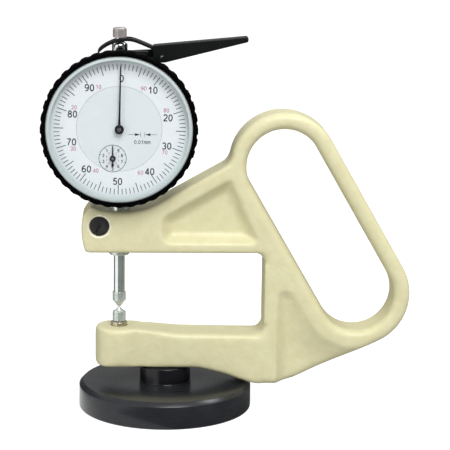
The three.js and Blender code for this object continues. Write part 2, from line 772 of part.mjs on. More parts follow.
function addCase() {
  const shell = turnedY([
    [caseInnerRadius, caseFrontY], [caseRadius, caseFrontY], [caseRadius, caseBackY],
    [caseInnerRadius, caseBackY], [caseInnerRadius, caseFrontY]]);
  const parts = [shell];
  for (const angle of coverScrewAngles) {
    const [x, z] = polar(coverScrewCircle, angle);
    parts.push(rodY(coverLugRadius, x, z, caseBackY - coverLugDepth, caseBackY));
  }
  for (const angle of plateLugAngles) {
    const [x, z] = polar(plateLugCircle, angle);
    parts.push(rodY(plateLugRadius, x, z, rearPlateFrontY - plateLugDepth, rearPlateFrontY));
    const [wallX, wallZ] = polar(plateLugCircle + plateLugRadius, angle);
    parts.push(new THREE.BoxGeometry(2 * plateLugRadius, plateLugDepth, 2 * plateLugRadius)
      .rotateY(-angle * degree)
      .translate((x + wallX) / 2, rearPlateFrontY - plateLugDepth / 2, (z + wallZ) / 2));
  }
  const stemBossTopZ = dialZ - caseInnerRadius + seatGap;
  parts.push(rodZ(caseStemBossRadius, 0, caseStemBossZ, stemBossTopZ));
  parts.push(rodZ(caseTopBossRadius, 0, dialZ + caseInnerRadius - seatGap, bracketBottomZ));
  const tools = [
    rodZ(stemNeckRadius + seatGap, 0, caseStemBossZ - overrun, stemBossTopZ + overrun),
    rodZ(topBushNeckRadius + seatGap, 0, dialZ + caseInnerRadius - overrun, bracketBottomZ + overrun)];
  for (const angle of coverScrewAngles) {
    const [x, z] = polar(coverScrewCircle, angle);
    tools.push(rodY(coverScrewRadius + seatGap, x, z, caseBackY - coverLugDepth - overrun,
      caseBackY + overrun));
  }
  for (const angle of plateLugAngles) {
    const [x, z] = polar(plateLugCircle, angle);
    tools.push(rodY(plateScrewRadius + seatGap, x, z,
      rearPlateFrontY - plateScrewLength, rearPlateFrontY + overrun));
  }
  add('case_body', cut(join(...parts), ...tools), steel);
  const coverHoles = coverScrewAngles.map((angle) => {
    const [x, z] = polar(coverScrewCircle, angle);
    return circle(coverScrewRadius + seatGap, x, z);
  });
  const coverBackY = caseBackY + coverThickness;
  add('back_cover', plateY(
    circle(caseRadius, 0, dialZ, wideFacets), coverBackY, coverThickness, coverHoles), steel);
  coverScrewAngles.forEach((angle, i) => {
    const [x, z] = polar(coverScrewCircle, angle);
    add(`back_cover_screw_${i + 1}`, join(
      rodY(coverScrewHeadRadius, x, z, coverBackY, coverBackY + coverScrewHeadHeight),
      rodY(coverScrewRadius, x, z, coverBackY - coverScrewLength,
        coverBackY + coverScrewHeadHeight / 2)), steel);
  });
}

// Bezel, crystal and dial
function addBezel() {
  const outline = [];
  const lobeShares = [[-0.32, 0], [-0.2, 1], [0.2, 1], [0.32, 0]];
  for (let i = 0; i < gripLobes; i += 1) {
    for (const [share, height] of lobeShares) {
      const angle = 2 * Math.PI * (i + share) / gripLobes;
      const radius = bezelValleyRadius + height * (bezelRadius - bezelValleyRadius);
      outline.push(new THREE.Vector2(radius * Math.cos(angle), radius * Math.sin(angle)));
    }
  }
  const shape = new THREE.Shape(outline);
  shape.holes.push(new THREE.Path(
    circle(bezelBore, 0, 0, wideFacets).map(([x, z]) => new THREE.Vector2(x, z))));
  const rim = new THREE.ExtrudeGeometry(shape, { depth: bezelDepth, bevelEnabled: false })
    .rotateX(Math.PI / 2).translate(0, bezelFrontY + bezelDepth, dialZ);
  const crystalBackY = bezelFrontY + crystalSink + crystalThickness;
  const wallMiddle = (bezelBore + bezelValleyRadius) / 2;
  const shoulder = turnedY([
    [bezelBore - shoulderWidth, crystalBackY], [wallMiddle, crystalBackY],
    [wallMiddle, crystalBackY + shoulderThickness],
    [bezelBore - shoulderWidth, crystalBackY + shoulderThickness],
    [bezelBore - shoulderWidth, crystalBackY]]);
  const crystalSeatRadius = bezelBore + crystalLedge;
  add('bezel', cut(join(rim, shoulder), rodY(
    crystalSeatRadius, 0, dialZ, bezelFrontY - overrun, crystalBackY, wideFacets)), black);
  const crystalRadius = crystalSeatRadius - seatGap;
  add('crystal', turnedY([
    [0, crystalBackY - crystalThickness], [crystalRadius - crystalThickness / 2,
      crystalBackY - crystalThickness], [crystalRadius, crystalBackY - crystalThickness / 2],
    [crystalRadius, crystalBackY], [0, crystalBackY]]),
  { color: 0xf4f8f8, roughness: 0.05, metalness: 0 });
  const dialBackY = dialFrontY + dialThickness;
  const ringBore = dialCentreRadius + seatGap;
  add('dial_ring', turnedY([
    [ringBore, dialFrontY], [bezelBore - seatGap, dialFrontY], [bezelBore - seatGap, dialBackY],
    [ringBore, dialBackY], [ringBore, dialFrontY]]), white);
  const feet = [180, 0].map((angle) => {
    const [x, z] = polar(dialFootCircle, angle);
    return rodY(dialFootRadius, x, z, dialBackY - dialThickness / 2, frontPlateFaceY);
  });
  add('dial_centre', join(plateY(
    circle(dialCentreRadius, 0, dialZ, wideFacets), dialBackY, dialThickness, [
      circle(centreArborRadius + seatGap, 0, dialZ),
      circle(arborRadius + seatGap, counterX, counterZ)]), ...feet), white);
}

// Movement plates, pillars and bridge
const wheelModule = 2 * Math.hypot(counterX, counterDrop) / (wheelTeeth + centrePinionTeeth);
const hairspringWheelDistance = (hairspringWheelTeeth + centrePinionTeeth) * wheelModule / 2;
const [hairX, hairZ] = polar(hairspringWheelDistance, hairspringWheelAngle);
const pillarAngles = [15, 165, 200, 340];
const rearPlateBackY = rearPlateFrontY + rearPlateThickness;
const frontPlateFaceY = frontPlateY - frontPlateThickness;
const springPostZ = dialZ - caseInnerRadius + springPostRoom;

function addPlates() {
  const pivotHole = (radius, x, z) => circle(radius + pivotGap, x, z);
  const rearHoles = [
    pivotHole(arborRadius, counterX, counterZ),
    pivotHole(centreArborRadius, hairX, hairZ),
    pivotHole(springPostRadius / 2, springX, springPostZ),
    pivotHole(hairspringStudRadius / 2, hairX - hairspringOuterRadius, hairZ)];
  const frontHoles = [
    pivotHole(arborRadius, counterX, counterZ),
    pivotHole(centreArborRadius, 0, dialZ),
    pivotHole(centreArborRadius, hairX, hairZ)];
  for (const angle of pillarAngles) {
    rearHoles.push(circle(pillarRivetRadius + seatGap, ...polar(pillarCircle, angle)));
    frontHoles.push(circle(plateScrewRadius + seatGap, ...polar(pillarCircle, angle)));
  }
  for (const angle of plateLugAngles) {
    rearHoles.push(circle(plateScrewRadius + seatGap, ...polar(plateLugCircle, angle)));
  }
  add('rear_plate', plateY(
    circle(rearPlateRadius, 0, dialZ, wideFacets), rearPlateBackY, rearPlateThickness, rearHoles), brass);
  add('front_plate', plateY(
    circle(frontPlateRadius, 0, dialZ, wideFacets), frontPlateY, frontPlateThickness, frontHoles), brass);
  plateLugAngles.forEach((angle, i) => {
    const [x, z] = polar(plateLugCircle, angle);
    add(`rear_plate_screw_${i + 1}`, join(
      rodY(plateScrewHeadRadius, x, z, rearPlateBackY, rearPlateBackY + plateScrewHeadHeight),
      rodY(plateScrewRadius, x, z, rearPlateBackY + plateScrewHeadHeight / 2,
        rearPlateBackY - plateScrewLength)), steel);
  });
  pillarAngles.forEach((angle, i) => {
    const [x, z] = polar(pillarCircle, angle);
    const post = join(
      rodY(pillarRadius, x, z, frontPlateY, rearPlateFrontY),
      rodY(pillarRivetRadius, x, z, rearPlateFrontY - overrun, rearPlateBackY));
    add(`plate_pillar_${i + 1}`, cut(post, rodY(plateScrewRadius + seatGap, x, z,
      frontPlateY - overrun, frontPlateFaceY + plateScrewLength + seatGap)), brass);
    add(`front_plate_screw_${i + 1}`, join(
      rodY(plateScrewHeadRadius, x, z, frontPlateFaceY - plateScrewHeadHeight, frontPlateFaceY),
      rodY(plateScrewRadius, x, z, frontPlateFaceY - plateScrewHeadHeight / 2,
        frontPlateFaceY + plateScrewLength)), steel);
  });
  const bar = [
    [-bridgeHalfSpan, dialZ - bridgeHalfWidth], [bridgeHalfSpan, dialZ - bridgeHalfWidth],
    [bridgeHalfSpan, dialZ + bridgeHalfWidth], [-bridgeHalfSpan, dialZ + bridgeHalfWidth]];
  const footDepth = bridgeBackY - frontPlateY;
  const feet = [-1, 1].map((side) => new THREE.BoxGeometry(
    bridgeFootLength, footDepth, 2 * bridgeHalfWidth).translate(
    side * (bridgeHalfSpan - bridgeFootLength / 2), frontPlateY + footDepth / 2, dialZ));
  add('centre_bridge', cut(join(
    plateY(bar, bridgeBackY, bridgeThickness), ...feet),
  rodY(centreArborRadius + pivotGap, 0, dialZ, frontPlateY, bridgeBackY + overrun)), brass);
}

// Gear train from the rack to both hands
function addTrain() {
  const gearBore = arborRadius + pivotGap;
  const counterHandY = dialFrontY - seatGap - counterHandThickness;
  const counterArborFrontY = counterHandY - counterHubHeight / 2;
  add('counter_arbor', rodY(
    arborRadius, counterX, counterZ, counterArborFrontY, rearPlateBackY), steel);
  add('rack_pinion', plateY(
    gearOutline(rackPinionTeeth, rackModule, counterX, counterZ, 0), rackPinionLength / 2,
    rackPinionLength, [circle(gearBore, counterX, counterZ)]), steel);
  const pitchDirection = Math.atan2(counterDrop, -counterX);
  add('counter_gear', plateY(
    gearOutline(wheelTeeth, wheelModule, counterX, counterZ, pitchDirection), counterGearBackY,
    wheelThickness, [circle(gearBore, counterX, counterZ)]), brass);
  const halfPitch = Math.PI / centrePinionTeeth;
  const pinionBackY = counterGearBackY + seatGap;
  const pinionFrontY = hairspringWheelBackY - wheelThickness - seatGap;
  const pointerY = counterHandY - counterHubHeight - 2 * seatGap;
  const centreArborFrontY = pointerY - pointerThickness;
  const pinion = plateY(
    gearOutline(centrePinionTeeth, wheelModule, 0, dialZ, pitchDirection + Math.PI + halfPitch),
    pinionBackY, pinionBackY - pinionFrontY);
  add('centre_pinion', join(pinion, rodY(
    centreArborRadius, 0, dialZ, centreArborFrontY, bridgeBackY)), steel);
  const pinionTooth = pitchDirection + Math.PI + halfPitch;
  const pinionPitch = 2 * halfPitch;
  const towardsWheel = hairspringWheelAngle * degree;
  const phase = (towardsWheel - pinionTooth) / pinionPitch;
  const wheelPitch = 2 * Math.PI / hairspringWheelTeeth;
  const wheelTurn = towardsWheel + Math.PI + (phase - 0.5) * wheelPitch;
  const hairBore = centreArborRadius + pivotGap;
  add('hairspring_wheel', plateY(
    gearOutline(hairspringWheelTeeth, wheelModule, hairX, hairZ, wheelTurn), hairspringWheelBackY,
    wheelThickness, [circle(hairBore, hairX, hairZ)]), brass);
  add('hairspring_arbor', rodY(
    centreArborRadius, hairX, hairZ, frontPlateFaceY, rearPlateBackY), steel);
  addPointer(pointerY);
  addCounterHand(counterHandY);
}

// Both hands are drawn pointing up, with their underside at backY.
function addPointer(backY) {
  const flare = 2 * pointerHubRadius;
  const needle = [
    [-pointerRootWidth, dialZ], [pointerRootWidth, dialZ],
    [pointerRootWidth / 2, dialZ + flare], [pointerTipWidth / 2, dialZ + pointerLength],
    [-pointerTipWidth / 2, dialZ + pointerLength], [-pointerRootWidth / 2, dialZ + flare]];
  const hub = rodY(pointerHubRadius, 0, dialZ, backY - pointerHubHeight, backY, facets);
  const bore = rodY(centreArborRadius + pivotGap, 0, dialZ, backY - pointerThickness - seatGap,
    backY + overrun);
  add('pointer', cut(join(plateY(needle, backY, pointerThickness), hub), bore), black);
}

function addCounterHand(backY) {
  const half = counterHandWidth / 2;
  const needle = [
    [counterX - half, counterZ - counterTailLength], [counterX + half, counterZ - counterTailLength],
    [counterX + half / 2, counterZ + counterHandLength],
    [counterX - half / 2, counterZ + counterHandLength]];
  const hub = rodY(counterHubRadius + seatGap / 2, counterX, counterZ, backY - counterHubHeight, backY);
  const tail = rodY(counterTailRadius, counterX, counterZ - counterTailLength,
    backY - counterHandThickness, backY);
  const bore = rodY(arborRadius + pivotGap, counterX, counterZ, backY - counterHubHeight / 2 - pivotGap,
    backY + overrun);
  add('counter_hand', cut(join(
    plateY(needle, backY, counterHandThickness), hub, tail), bore), black);
}

// A strip or wire swept through a list of points with a square section and closed ends.
function sweptStrip(points, halfWidth, halfHeight, upright) {
  const vertices = [];
  const indices = [];
  points.forEach((point, i) => {
    const ahead = points[Math.min(i + 1, points.length - 1)];
    const behind = points[Math.max(i - 1, 0)];
    const along = ahead.clone().sub(behind).normalize();
    const side = along.clone().cross(upright).normalize();
    const over = side.clone().cross(along).normalize();
    for (const [s, o] of [[-1, -1], [1, -1], [1, 1], [-1, 1]]) {
      vertices.push(...point.clone()
        .addScaledVector(side, s * halfWidth).addScaledVector(over, o * halfHeight).toArray());
    }
    if (i > 0) {
      const a = 4 * (i - 1);
      const b = 4 * i;
      for (let k = 0; k < 4; k += 1) {
        const n = (k + 1) % 4;
        indices.push(a + k, b + n, a + n, a + k, b + k, b + n);
      }
    }
  });
  const last = vertices.length / 3 - 4;
  indices.push(0, 1, 2, 0, 2, 3);
  indices.push(last, last + 2, last + 1, last, last + 3, last + 2);
  const geometry = new THREE.BufferGeometry();
  geometry.setAttribute('position', new THREE.Float32BufferAttribute(vertices, 3));
  geometry.setIndex(indices);
  return geometry;
}

function addSprings() {
  const coil = [];
  const spiralInner = centreArborRadius + 2 * seatGap;
  const spiralOuter = hairspringOuterRadius - hairspringStudRadius - seatGap;
  const spiralSteps = 14 * hairspringTurns;
  const spiralY = hairspringBackY - hairspringHeight / 2;
  for (let i = 0; i <= spiralSteps; i += 1) {
    const share = i / spiralSteps;
    const radius = spiralInner + (spiralOuter - spiralInner) * share;
    const angle = Math.PI + 2 * Math.PI * hairspringTurns * share;
    coil.push(new THREE.Vector3(
      hairX + radius * Math.cos(angle), spiralY, hairZ + radius * Math.sin(angle)));
  }
  add('hairspring', sweptStrip(
    coil, hairspringStrip / 2, hairspringHeight / 2, new THREE.Vector3(0, 1, 0)), steel);
  const studX = hairX - hairspringOuterRadius;
  add('hairspring_stud', join(
    rodY(hairspringStudRadius, studX, hairZ, hairspringBackY - hairspringHeight, rearPlateFrontY),
    rodY(hairspringStudRadius / 2, studX, hairZ, rearPlateFrontY - overrun, rearPlateBackY)), steel);

  const helix = [];
  const topZ = guidePinZ - guidePinRadius - seatGap - springWire / 2;
  const bottomZ = springPostZ + springPostRadius + seatGap + springWire / 2;
  const helixSteps = 7 * springTurns;
  for (let i = 0; i <= helixSteps; i += 1) {
    const share = i / helixSteps;
    const angle = 2 * Math.PI * springTurns * share;
    helix.push(new THREE.Vector3(
      springX + springRadius * Math.cos(angle), springRadius * Math.sin(angle),
      bottomZ + (topZ - bottomZ) * share));
  }
  add('return_spring', sweptStrip(
    helix, springWire / 2, springWire / 2, new THREE.Vector3(0, 0, 1)), steel);
  add('spring_post', join(
    rodY(springPostRadius, springX, springPostZ, -springRadius - springPostRadius, rearPlateFrontY),
    rodY(springPostRadius / 2, springX, springPostZ, rearPlateFrontY - overrun, rearPlateBackY)),
  steel);

  const guideBottomZ = guidePinZ - 3 * guidePinRadius;
  const guideTopZ = guidePinZ + spindleTravel + 3 * guidePinRadius;
  const depth = guidePlateHalfDepth + rearPlateFrontY;
  const rail = new THREE.BoxGeometry(guidePlateThickness, depth, guideTopZ - guideBottomZ).translate(
    guidePlateX, rearPlateFrontY - depth / 2, (guideTopZ + guideBottomZ) / 2);
  const slotLength = spindleTravel + 2 * guideSlotHalfWidth;
  const slot = new THREE.BoxGeometry(2 * guidePlateThickness, 2 * guideSlotHalfWidth, slotLength)
    .translate(guidePlateX, 0, guidePinZ + spindleTravel / 2);
  add('guide_plate', cut(rail, slot), brass);
}

// Lifting lever: bracket under the top bush, pin, paddle and the fork under the cap
const leverZ = bracketBottomZ - leverPivotDrop;

function addLever() {
  const earFrontY = leverHalfWidth + seatGap;
  const earBackY = earFrontY + bracketThickness;
  const earRadius = 3 * leverPinRadius;
  const shelf = new THREE.Shape([
    ...arc(0, 0, bracketHalfWidth, 240, 90, 10), [bracketReach, bracketHalfWidth],
    [bracketReach, -bracketHalfWidth / 2]].map(([x, y]) => new THREE.Vector2(x, y)));
  shelf.holes.push(new THREE.Path(
    circle(topBushNeckRadius + seatGap, 0, 0, facets).map(([x, y]) => new THREE.Vector2(x, y))));
  const shelfPlate = new THREE.ExtrudeGeometry(shelf, { depth: bracketThickness, bevelEnabled: false })
    .translate(0, 0, bracketBottomZ);
  const earOutline = [
    [bracketReach / 2, bracketBottomZ], ...arc(leverPivotX, leverZ, earRadius, -100, 90, 8),
    [bracketReach / 2, bracketTopZ]];
  const ear = plateY(earOutline, earBackY, bracketThickness);
  const tab = new THREE.BoxGeometry(bracketReach / 2, earBackY - bracketHalfWidth / 2, bracketThickness)
    .translate(bracketReach * 3 / 4, (earBackY + bracketHalfWidth / 2) / 2,
      (bracketBottomZ + bracketTopZ) / 2);
  add('lever_bracket', cut(join(shelfPlate, tab, ear), rodY(
    leverPinRadius + pivotGap, leverPivotX, leverZ, earFrontY - overrun, earBackY + overrun)), black);
  add('lever_pin', join(
    rodY(leverPinRadius, leverPivotX, leverZ, -leverHalfWidth - pivotGap - leverPinHeadHeight / 2,
      earBackY + seatGap),
    rodY(leverPinHeadRadius, leverPivotX, leverZ, -leverHalfWidth - pivotGap - leverPinHeadHeight,
      -leverHalfWidth - pivotGap, facets)), chrome);

  const contactZ = capBottomZ - seatGap;
  const startAngle = (contactZ - leverZ) / leverPivotX;
  const liftAngle = spindleTravel / leverPivotX;
  const forkPoint = (swing, inset) => {
    const reach = leverPivotX * (startAngle + swing) - inset;
    return [
      leverPivotX - leverPivotX * Math.cos(swing) - reach * Math.sin(swing),
      leverZ - leverPivotX * Math.sin(swing) + reach * Math.cos(swing)];
  };
  const tipSwing = (1 + forkOverrunShare) * liftAngle;
  const rootX = leverPivotX - paddleRootHeight / 2;
  const tineSteps = 9;
  const upper = [];
  const lower = [];
  for (let i = 0; i <= tineSteps; i += 1) {
    upper.push(forkPoint(tipSwing * (1 - i / tineSteps), 0));
    lower.push(forkPoint(tipSwing * i / tineSteps, forkThickness));
  }
  const paddleTopZ = leverZ + paddleTopShare * paddleRootHeight;
  const crown = forkCrownShares.map(([along, down]) => [
    capRadius + along * (rootX - capRadius), contactZ - down * (contactZ - paddleTopZ)]);
  const forkOutline = [
    ...upper, [capRadius, contactZ], ...crown, [rootX, paddleTopZ], [rootX, paddleTopZ - forkThickness],
    ...crown.map(([x, z]) => [x, z - 1.5 * forkThickness]).reverse(),
    [capRadius + forkThickness / 2, contactZ - forkThickness], ...lower];
  const forkBody = plateY(forkOutline, leverHalfWidth, 2 * leverHalfWidth);
  const openingReach = 4 * capRadius;
  const opening = new THREE.BoxGeometry(
    openingReach + capRadius + forkGap, 2 * forkGap, 4 * paddleRootHeight)
    .translate((capRadius + forkGap - openingReach) / 2, 0, contactZ);
  add('lever_fork', cut(forkBody, opening), black);
  const belly = paddleBellyShares.map(([x, z]) => [
    leverPivotX + x * paddleRootHeight, leverZ + z * paddleRootHeight, leverPinRadius]);
  const paddleEndX = leverPivotX + paddleReach;
  const paddleEndZ = leverZ + paddleTipShare * paddleRootHeight;
  const paddleOutline = rounded([
    [rootX + seatGap, leverZ - paddleRootShare * paddleRootHeight, leverPinRadius / 2],
    ...belly,
    [paddleEndX - paddleTipHeight / 2, paddleEndZ, leverPinRadius / 2],
    [paddleEndX, paddleEndZ + paddleTipHeight / 2, leverPinRadius / 2],
    [paddleEndX - paddleTipHeight / 2, paddleEndZ + paddleTipHeight, leverPinRadius / 2],
    [rootX + seatGap, paddleTopZ, leverPinRadius / 2]]);
  add('lever_paddle', plateY(paddleOutline, leverHalfWidth, 2 * leverHalfWidth, [
    circle(leverPinRadius + pivotGap, leverPivotX, leverZ)]), black);
}

addBase();
addFrame();
addClampScrew();
addContacts();
addStem();
addSpindle();
addCase();
addBezel();
addPlates();
addTrain();
addSprings();
addLever();

export default group;
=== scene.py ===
import math

import bmesh
import bpy
import numpy as np
from mathutils import Matrix, Vector


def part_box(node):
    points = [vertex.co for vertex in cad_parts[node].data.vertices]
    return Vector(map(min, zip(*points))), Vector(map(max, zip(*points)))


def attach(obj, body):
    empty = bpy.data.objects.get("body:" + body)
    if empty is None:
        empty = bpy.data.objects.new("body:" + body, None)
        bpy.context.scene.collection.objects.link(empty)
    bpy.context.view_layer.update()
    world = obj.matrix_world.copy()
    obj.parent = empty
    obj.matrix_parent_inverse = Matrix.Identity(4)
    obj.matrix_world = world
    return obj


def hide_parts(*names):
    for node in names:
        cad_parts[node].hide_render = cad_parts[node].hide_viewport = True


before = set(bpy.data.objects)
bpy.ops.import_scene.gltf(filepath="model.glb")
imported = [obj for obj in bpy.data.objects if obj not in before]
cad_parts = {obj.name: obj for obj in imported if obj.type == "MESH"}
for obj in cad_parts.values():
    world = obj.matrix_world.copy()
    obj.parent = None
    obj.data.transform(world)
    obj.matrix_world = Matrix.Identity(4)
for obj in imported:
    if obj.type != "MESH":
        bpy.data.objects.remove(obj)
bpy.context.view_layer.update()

scene = bpy.context.scene
mm = 0.001  # pieces are drawn in millimetres and scaled as they are finished


def middleOf(node):
    low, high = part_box(node)
    return (low + high) / 2 / mm


dialZ = middleOf("crystal").z
baseX = middleOf("base_disc").x
counterX, counterZ = middleOf("counter_arbor").x, middleOf("counter_arbor").z
pinX, pinZ = middleOf("lever_pin").x, middleOf("lever_pin").z
screwX, screwZ = middleOf("clamp_screw").x, middleOf("clamp_screw").z


# Materials
def shaderOf(finish):
    return finish.node_tree.nodes["Principled BSDF"]


def newFinish(name, colour, roughness, metallic=0.0, coat=0.0, coatRoughness=0.1, gloss=0.5):
    finish = bpy.data.materials.new(name)
    finish.use_nodes = True
    look = {"Base Color": (*colour, 1), "Roughness": roughness, "Metallic": metallic, "Coat Weight": coat,
            "Coat Roughness": coatRoughness, "Specular IOR Level": gloss}
    for key, value in look.items():
        shaderOf(finish).inputs[key].default_value = value
    return finish


def join(finish, source, target):
    finish.node_tree.links.new(source, target)


def addNode(finish, kind, inputs=None, **settings):
    # inputs that are sockets are joined, the others are set
    node = finish.node_tree.nodes.new(kind)
    for key, value in settings.items():
        setattr(node, key, value)
    for key, value in (inputs or {}).items():
        if isinstance(value, bpy.types.NodeSocket):
            join(finish, value, node.inputs[key])
        else:
            node.inputs[key].default_value = value
    return node


def objectPoint(finish, centre=(0, 0, 0), stretch=(1, 1, 1)):
    where = addNode(finish, "ShaderNodeTexCoord").outputs["Object"]
    moved = [-c * mm * s for c, s in zip(centre, stretch)]
    mapping = addNode(finish, "ShaderNodeMapping", {"Scale": stretch, "Location": moved, "Vector": where},
                      vector_type="POINT")
    return mapping.outputs["Vector"]


def noiseOf(finish, vector, scale, detail=3.0):
    noise = addNode(finish, "ShaderNodeTexNoise", {"Scale": scale, "Detail": detail, "Vector": vector})
    return noise.outputs["Fac"]


def spread(finish, value, low, high, fromLow=0.3, fromHigh=0.7):
    inputs = {"Value": value, "From Min": fromLow, "From Max": fromHigh, "To Min": low, "To Max": high}
    return addNode(finish, "ShaderNodeMapRange", inputs).outputs["Result"]


def blendColours(finish, value, dark, light, low=0.3, high=0.7):
    # the colour sockets of a mix node are its inputs 6 and 7 and its output 2
    share = spread(finish, value, 0, 1, low, high)
    mix = addNode(finish, "ShaderNodeMix", {0: share, 6: (*dark, 1), 7: (*light, 1)}, data_type="RGBA")
    join(finish, mix.outputs[2], shaderOf(finish).inputs["Base Color"])


def addBump(finish, value, depth, strength=1.0, under=None):
    bump = addNode(finish, "ShaderNodeBump", {"Strength": strength, "Distance": depth * mm, "Height": value})
    if under:
        join(finish, under.outputs["Normal"], bump.inputs["Normal"])
    join(finish, bump.outputs["Normal"], shaderOf(finish).inputs["Normal"])
    return bump


def setRoughness(finish, value, low, high):
    join(finish, spread(finish, value, low, high), shaderOf(finish).inputs["Roughness"])


def ringValue(finish, centre, axis, scale):
    # noise that only changes with the distance from a turning axis, or along it
    parts = addNode(finish, "ShaderNodeSeparateXYZ", {"Vector": objectPoint(finish, centre)}).outputs
    across = [parts[a] for a in "XYZ" if a != axis]
    flat = addNode(finish, "ShaderNodeCombineXYZ", {"X": across[0], "Y": across[1]})
    length = addNode(finish, "ShaderNodeVectorMath", {0: flat.outputs["Vector"]}, operation="LENGTH")
    total = addNode(finish, "ShaderNodeMath", {0: length.outputs["Value"], 1: parts[axis]}, operation="ADD")
    noise = addNode(finish, "ShaderNodeTexNoise", {"Scale": scale, "Detail": 4.0, "W": total.outputs["Value"]},
                    noise_dimensions="1D")
    return noise.outputs["Fac"]


def creamPaint():
    look = {"dark": (0.70, 0.66, 0.40), "light": (0.735, 0.70, 0.44), "clouds": 260,
            "dimples": 620, "dimpleDepth": 0.085, "waves": 190, "waveDepth": 0.16,
            "roughness": (0.38, 0.5), "grain": 900}
    finish = newFinish("creamHammertone", look["light"], 0.35, coat=0.1, coatRoughness=0.2, gloss=0.4)
    vector = objectPoint(finish)
    cells = addNode(finish, "ShaderNodeTexVoronoi", {"Scale": look["dimples"], "Smoothness": 1.0,
                                                     "Vector": vector}, feature="SMOOTH_F1")
    waves = noiseOf(finish, vector, look["waves"], 2.0)
    clouds = noiseOf(finish, vector, look["clouds"], 4.0)
    blendColours(finish, clouds, look["dark"], look["light"], 0.35, 0.65)
    broad = addBump(finish, waves, look["waveDepth"])
    addBump(finish, cells.outputs["Distance"], look["dimpleDepth"], under=broad)
    setRoughness(finish, noiseOf(finish, vector, look["grain"]), *look["roughness"])
    return finish


def blackOxide(name, centre, axis, dark=(0.0125, 0.0139, 0.0165), light=(0.0205, 0.022, 0.0265),
               roughness=(0.28, 0.42)):
    finish = newFinish(name, light, 0.3, gloss=0.3)
    rings = ringValue(finish, centre, axis, 5200)
    cloud = noiseOf(finish, objectPoint(finish), 130, 4.0)
    blendColours(finish, cloud, dark, light)
    addBump(finish, rings, 0.012, 0.8)
    setRoughness(finish, rings, *roughness)
    return finish


def brightMetal(name, colour, roughness, centre=(0, 0, 0), axis="Z", lines=4200, depth=0.006, metallic=1.0):
    finish = newFinish(name, colour, roughness, metallic=metallic)
    rings = ringValue(finish, centre, axis, lines)
    cloud = noiseOf(finish, objectPoint(finish), 220, 5.0)
    blendColours(finish, cloud, tuple(c * 0.86 for c in colour), colour)
    addBump(finish, rings, depth, 0.6)
    setRoughness(finish, cloud, roughness * 0.8, roughness * 1.3)
    return finish


def moulded(name, colour, roughness, grain=900, depth=0.02, gloss=0.5, variation=0.15):
    finish = newFinish(name, colour, roughness, gloss=gloss)
    vector = objectPoint(finish)
    cloud = noiseOf(finish, vector, grain)
    dark, light = (tuple(c * share for c in colour) for share in (1 - variation, 1 + variation))
    blendColours(finish, noiseOf(finish, vector, 240, 4.0), dark, light)
    addBump(finish, cloud, depth, 0.7)
    setRoughness(finish, cloud, roughness * 0.85, roughness * 1.2)
    return finish


def dialPaint():
    # white with the bezel's shadow painted into the colour: painted shade, bluish grey, towards its rim
    white, paintedShade, paintedShadeFrom, paintedShadeTo = (0.8, 0.85, 0.88), (0.66, 0.73, 0.745), 25.0, 26.6
    finish = newFinish("dialWhite", white, 0.5)
    flat = objectPoint(finish, (0, 0, dialZ), (1, 0, 1))
    distance = addNode(finish, "ShaderNodeVectorMath", {0: flat}, operation="LENGTH")
    blendColours(finish, distance.outputs["Value"], white, paintedShade, paintedShadeFrom * mm, paintedShadeTo * mm)
    setRoughness(finish, noiseOf(finish, objectPoint(finish), 900), 0.42, 0.56)
    return finish


def clearCrystal(name, least, most):
    # the crystal shows as its reflection only: more of it towards grazing angles
    finish = newFinish(name, (0.97, 0.99, 0.99), 0.03, metallic=1.0)
    facing = addNode(finish, "ShaderNodeLayerWeight", {"Blend": 0.5})
    steep = addNode(finish, "ShaderNodeMath", {0: facing.outputs["Facing"], 1: 5.0}, operation="POWER")
    join(finish, spread(finish, steep.outputs["Value"], least, most, 0.0, 1.0), shaderOf(finish).inputs["Alpha"])
    return finish


print("materials")
cream = creamPaint()
baseBlack = blackOxide("blackenedBase", (baseX, 0, 0), "Z", roughness=(0.19, 0.3))
collarBlack = blackOxide("blackenedCollar", (baseX, 0, 0), "Z", (0.003, 0.0028, 0.004), (0.008, 0.0072, 0.0105),
                         (0.16, 0.26))
screwBlack = blackOxide("blackenedScrew", (screwX, 0, screwZ), "Y", (0.008, 0.008, 0.009), (0.03, 0.029, 0.028))
bezelBlack = moulded("bezelBlack", (0.0014, 0.0014, 0.0018), 0.5, 1500, 0.008, gloss=0.012)
leverBlack = moulded("leverBlack", (0.007, 0.008, 0.008), 0.36, 700, 0.03, gloss=0.15)
# a paler cream for the rim of the clamp screw's seat: a painted highlight
creamRimHighlight = moulded("creamRimHighlight", (0.86, 0.84, 0.66), 0.3, 700, 0.004, variation=0.03)
chrome = brightMetal("platedChrome", (0.69, 0.735, 0.72), 0.18)
tipSteel = brightMetal("tipSteel", (0.68, 0.735, 0.7), 0.25, metallic=0.62)
capSteel = brightMetal("knurledCap", (0.5, 0.46, 0.45), 0.34, metallic=0.45)
satin = brightMetal("satinCase", (0.6, 0.61, 0.62), 0.3, (0, 0, dialZ), "Y", 2600, 0.012)
steel = brightMetal("bareSteel", (0.55, 0.56, 0.58), 0.28)
pinSteel = brightMetal("pinSteel", (0.13, 0.13, 0.13), 0.4)
brass = brightMetal("bareBrass", (0.5, 0.46, 0.33), 0.27, metallic=0.8)
dialWhite = dialPaint()
dialGrey = moulded("dialCentreWhite", (0.72, 0.78, 0.8), 0.5, 1200, 0.002, gloss=0.3, variation=0.012)
inkBlack = moulded("inkBlack", (0.012, 0.013, 0.016), 0.5, 2000, 0.002, gloss=0.2)
inkRed = moulded("inkRed", (0.48, 0.1, 0.18), 0.5, 2000, 0.002, gloss=0.2)
handBlack = moulded("handBlack", (0.008, 0.009, 0.012), 0.25, 2000, 0.002, gloss=0.3)
crystalClear = clearCrystal("crystalClear", 0.02, 0.5)
# pale opaque paint for the crystal's bevelled edge and the bezel's bore: painted light in place of the glow of the
# clear acrylic edge
crystalEdgePaintedLight = moulded("crystalEdgePaintedLight", (0.55, 0.62, 0.615), 0.4, 1200, 0.002, gloss=0.3, variation=0.04)


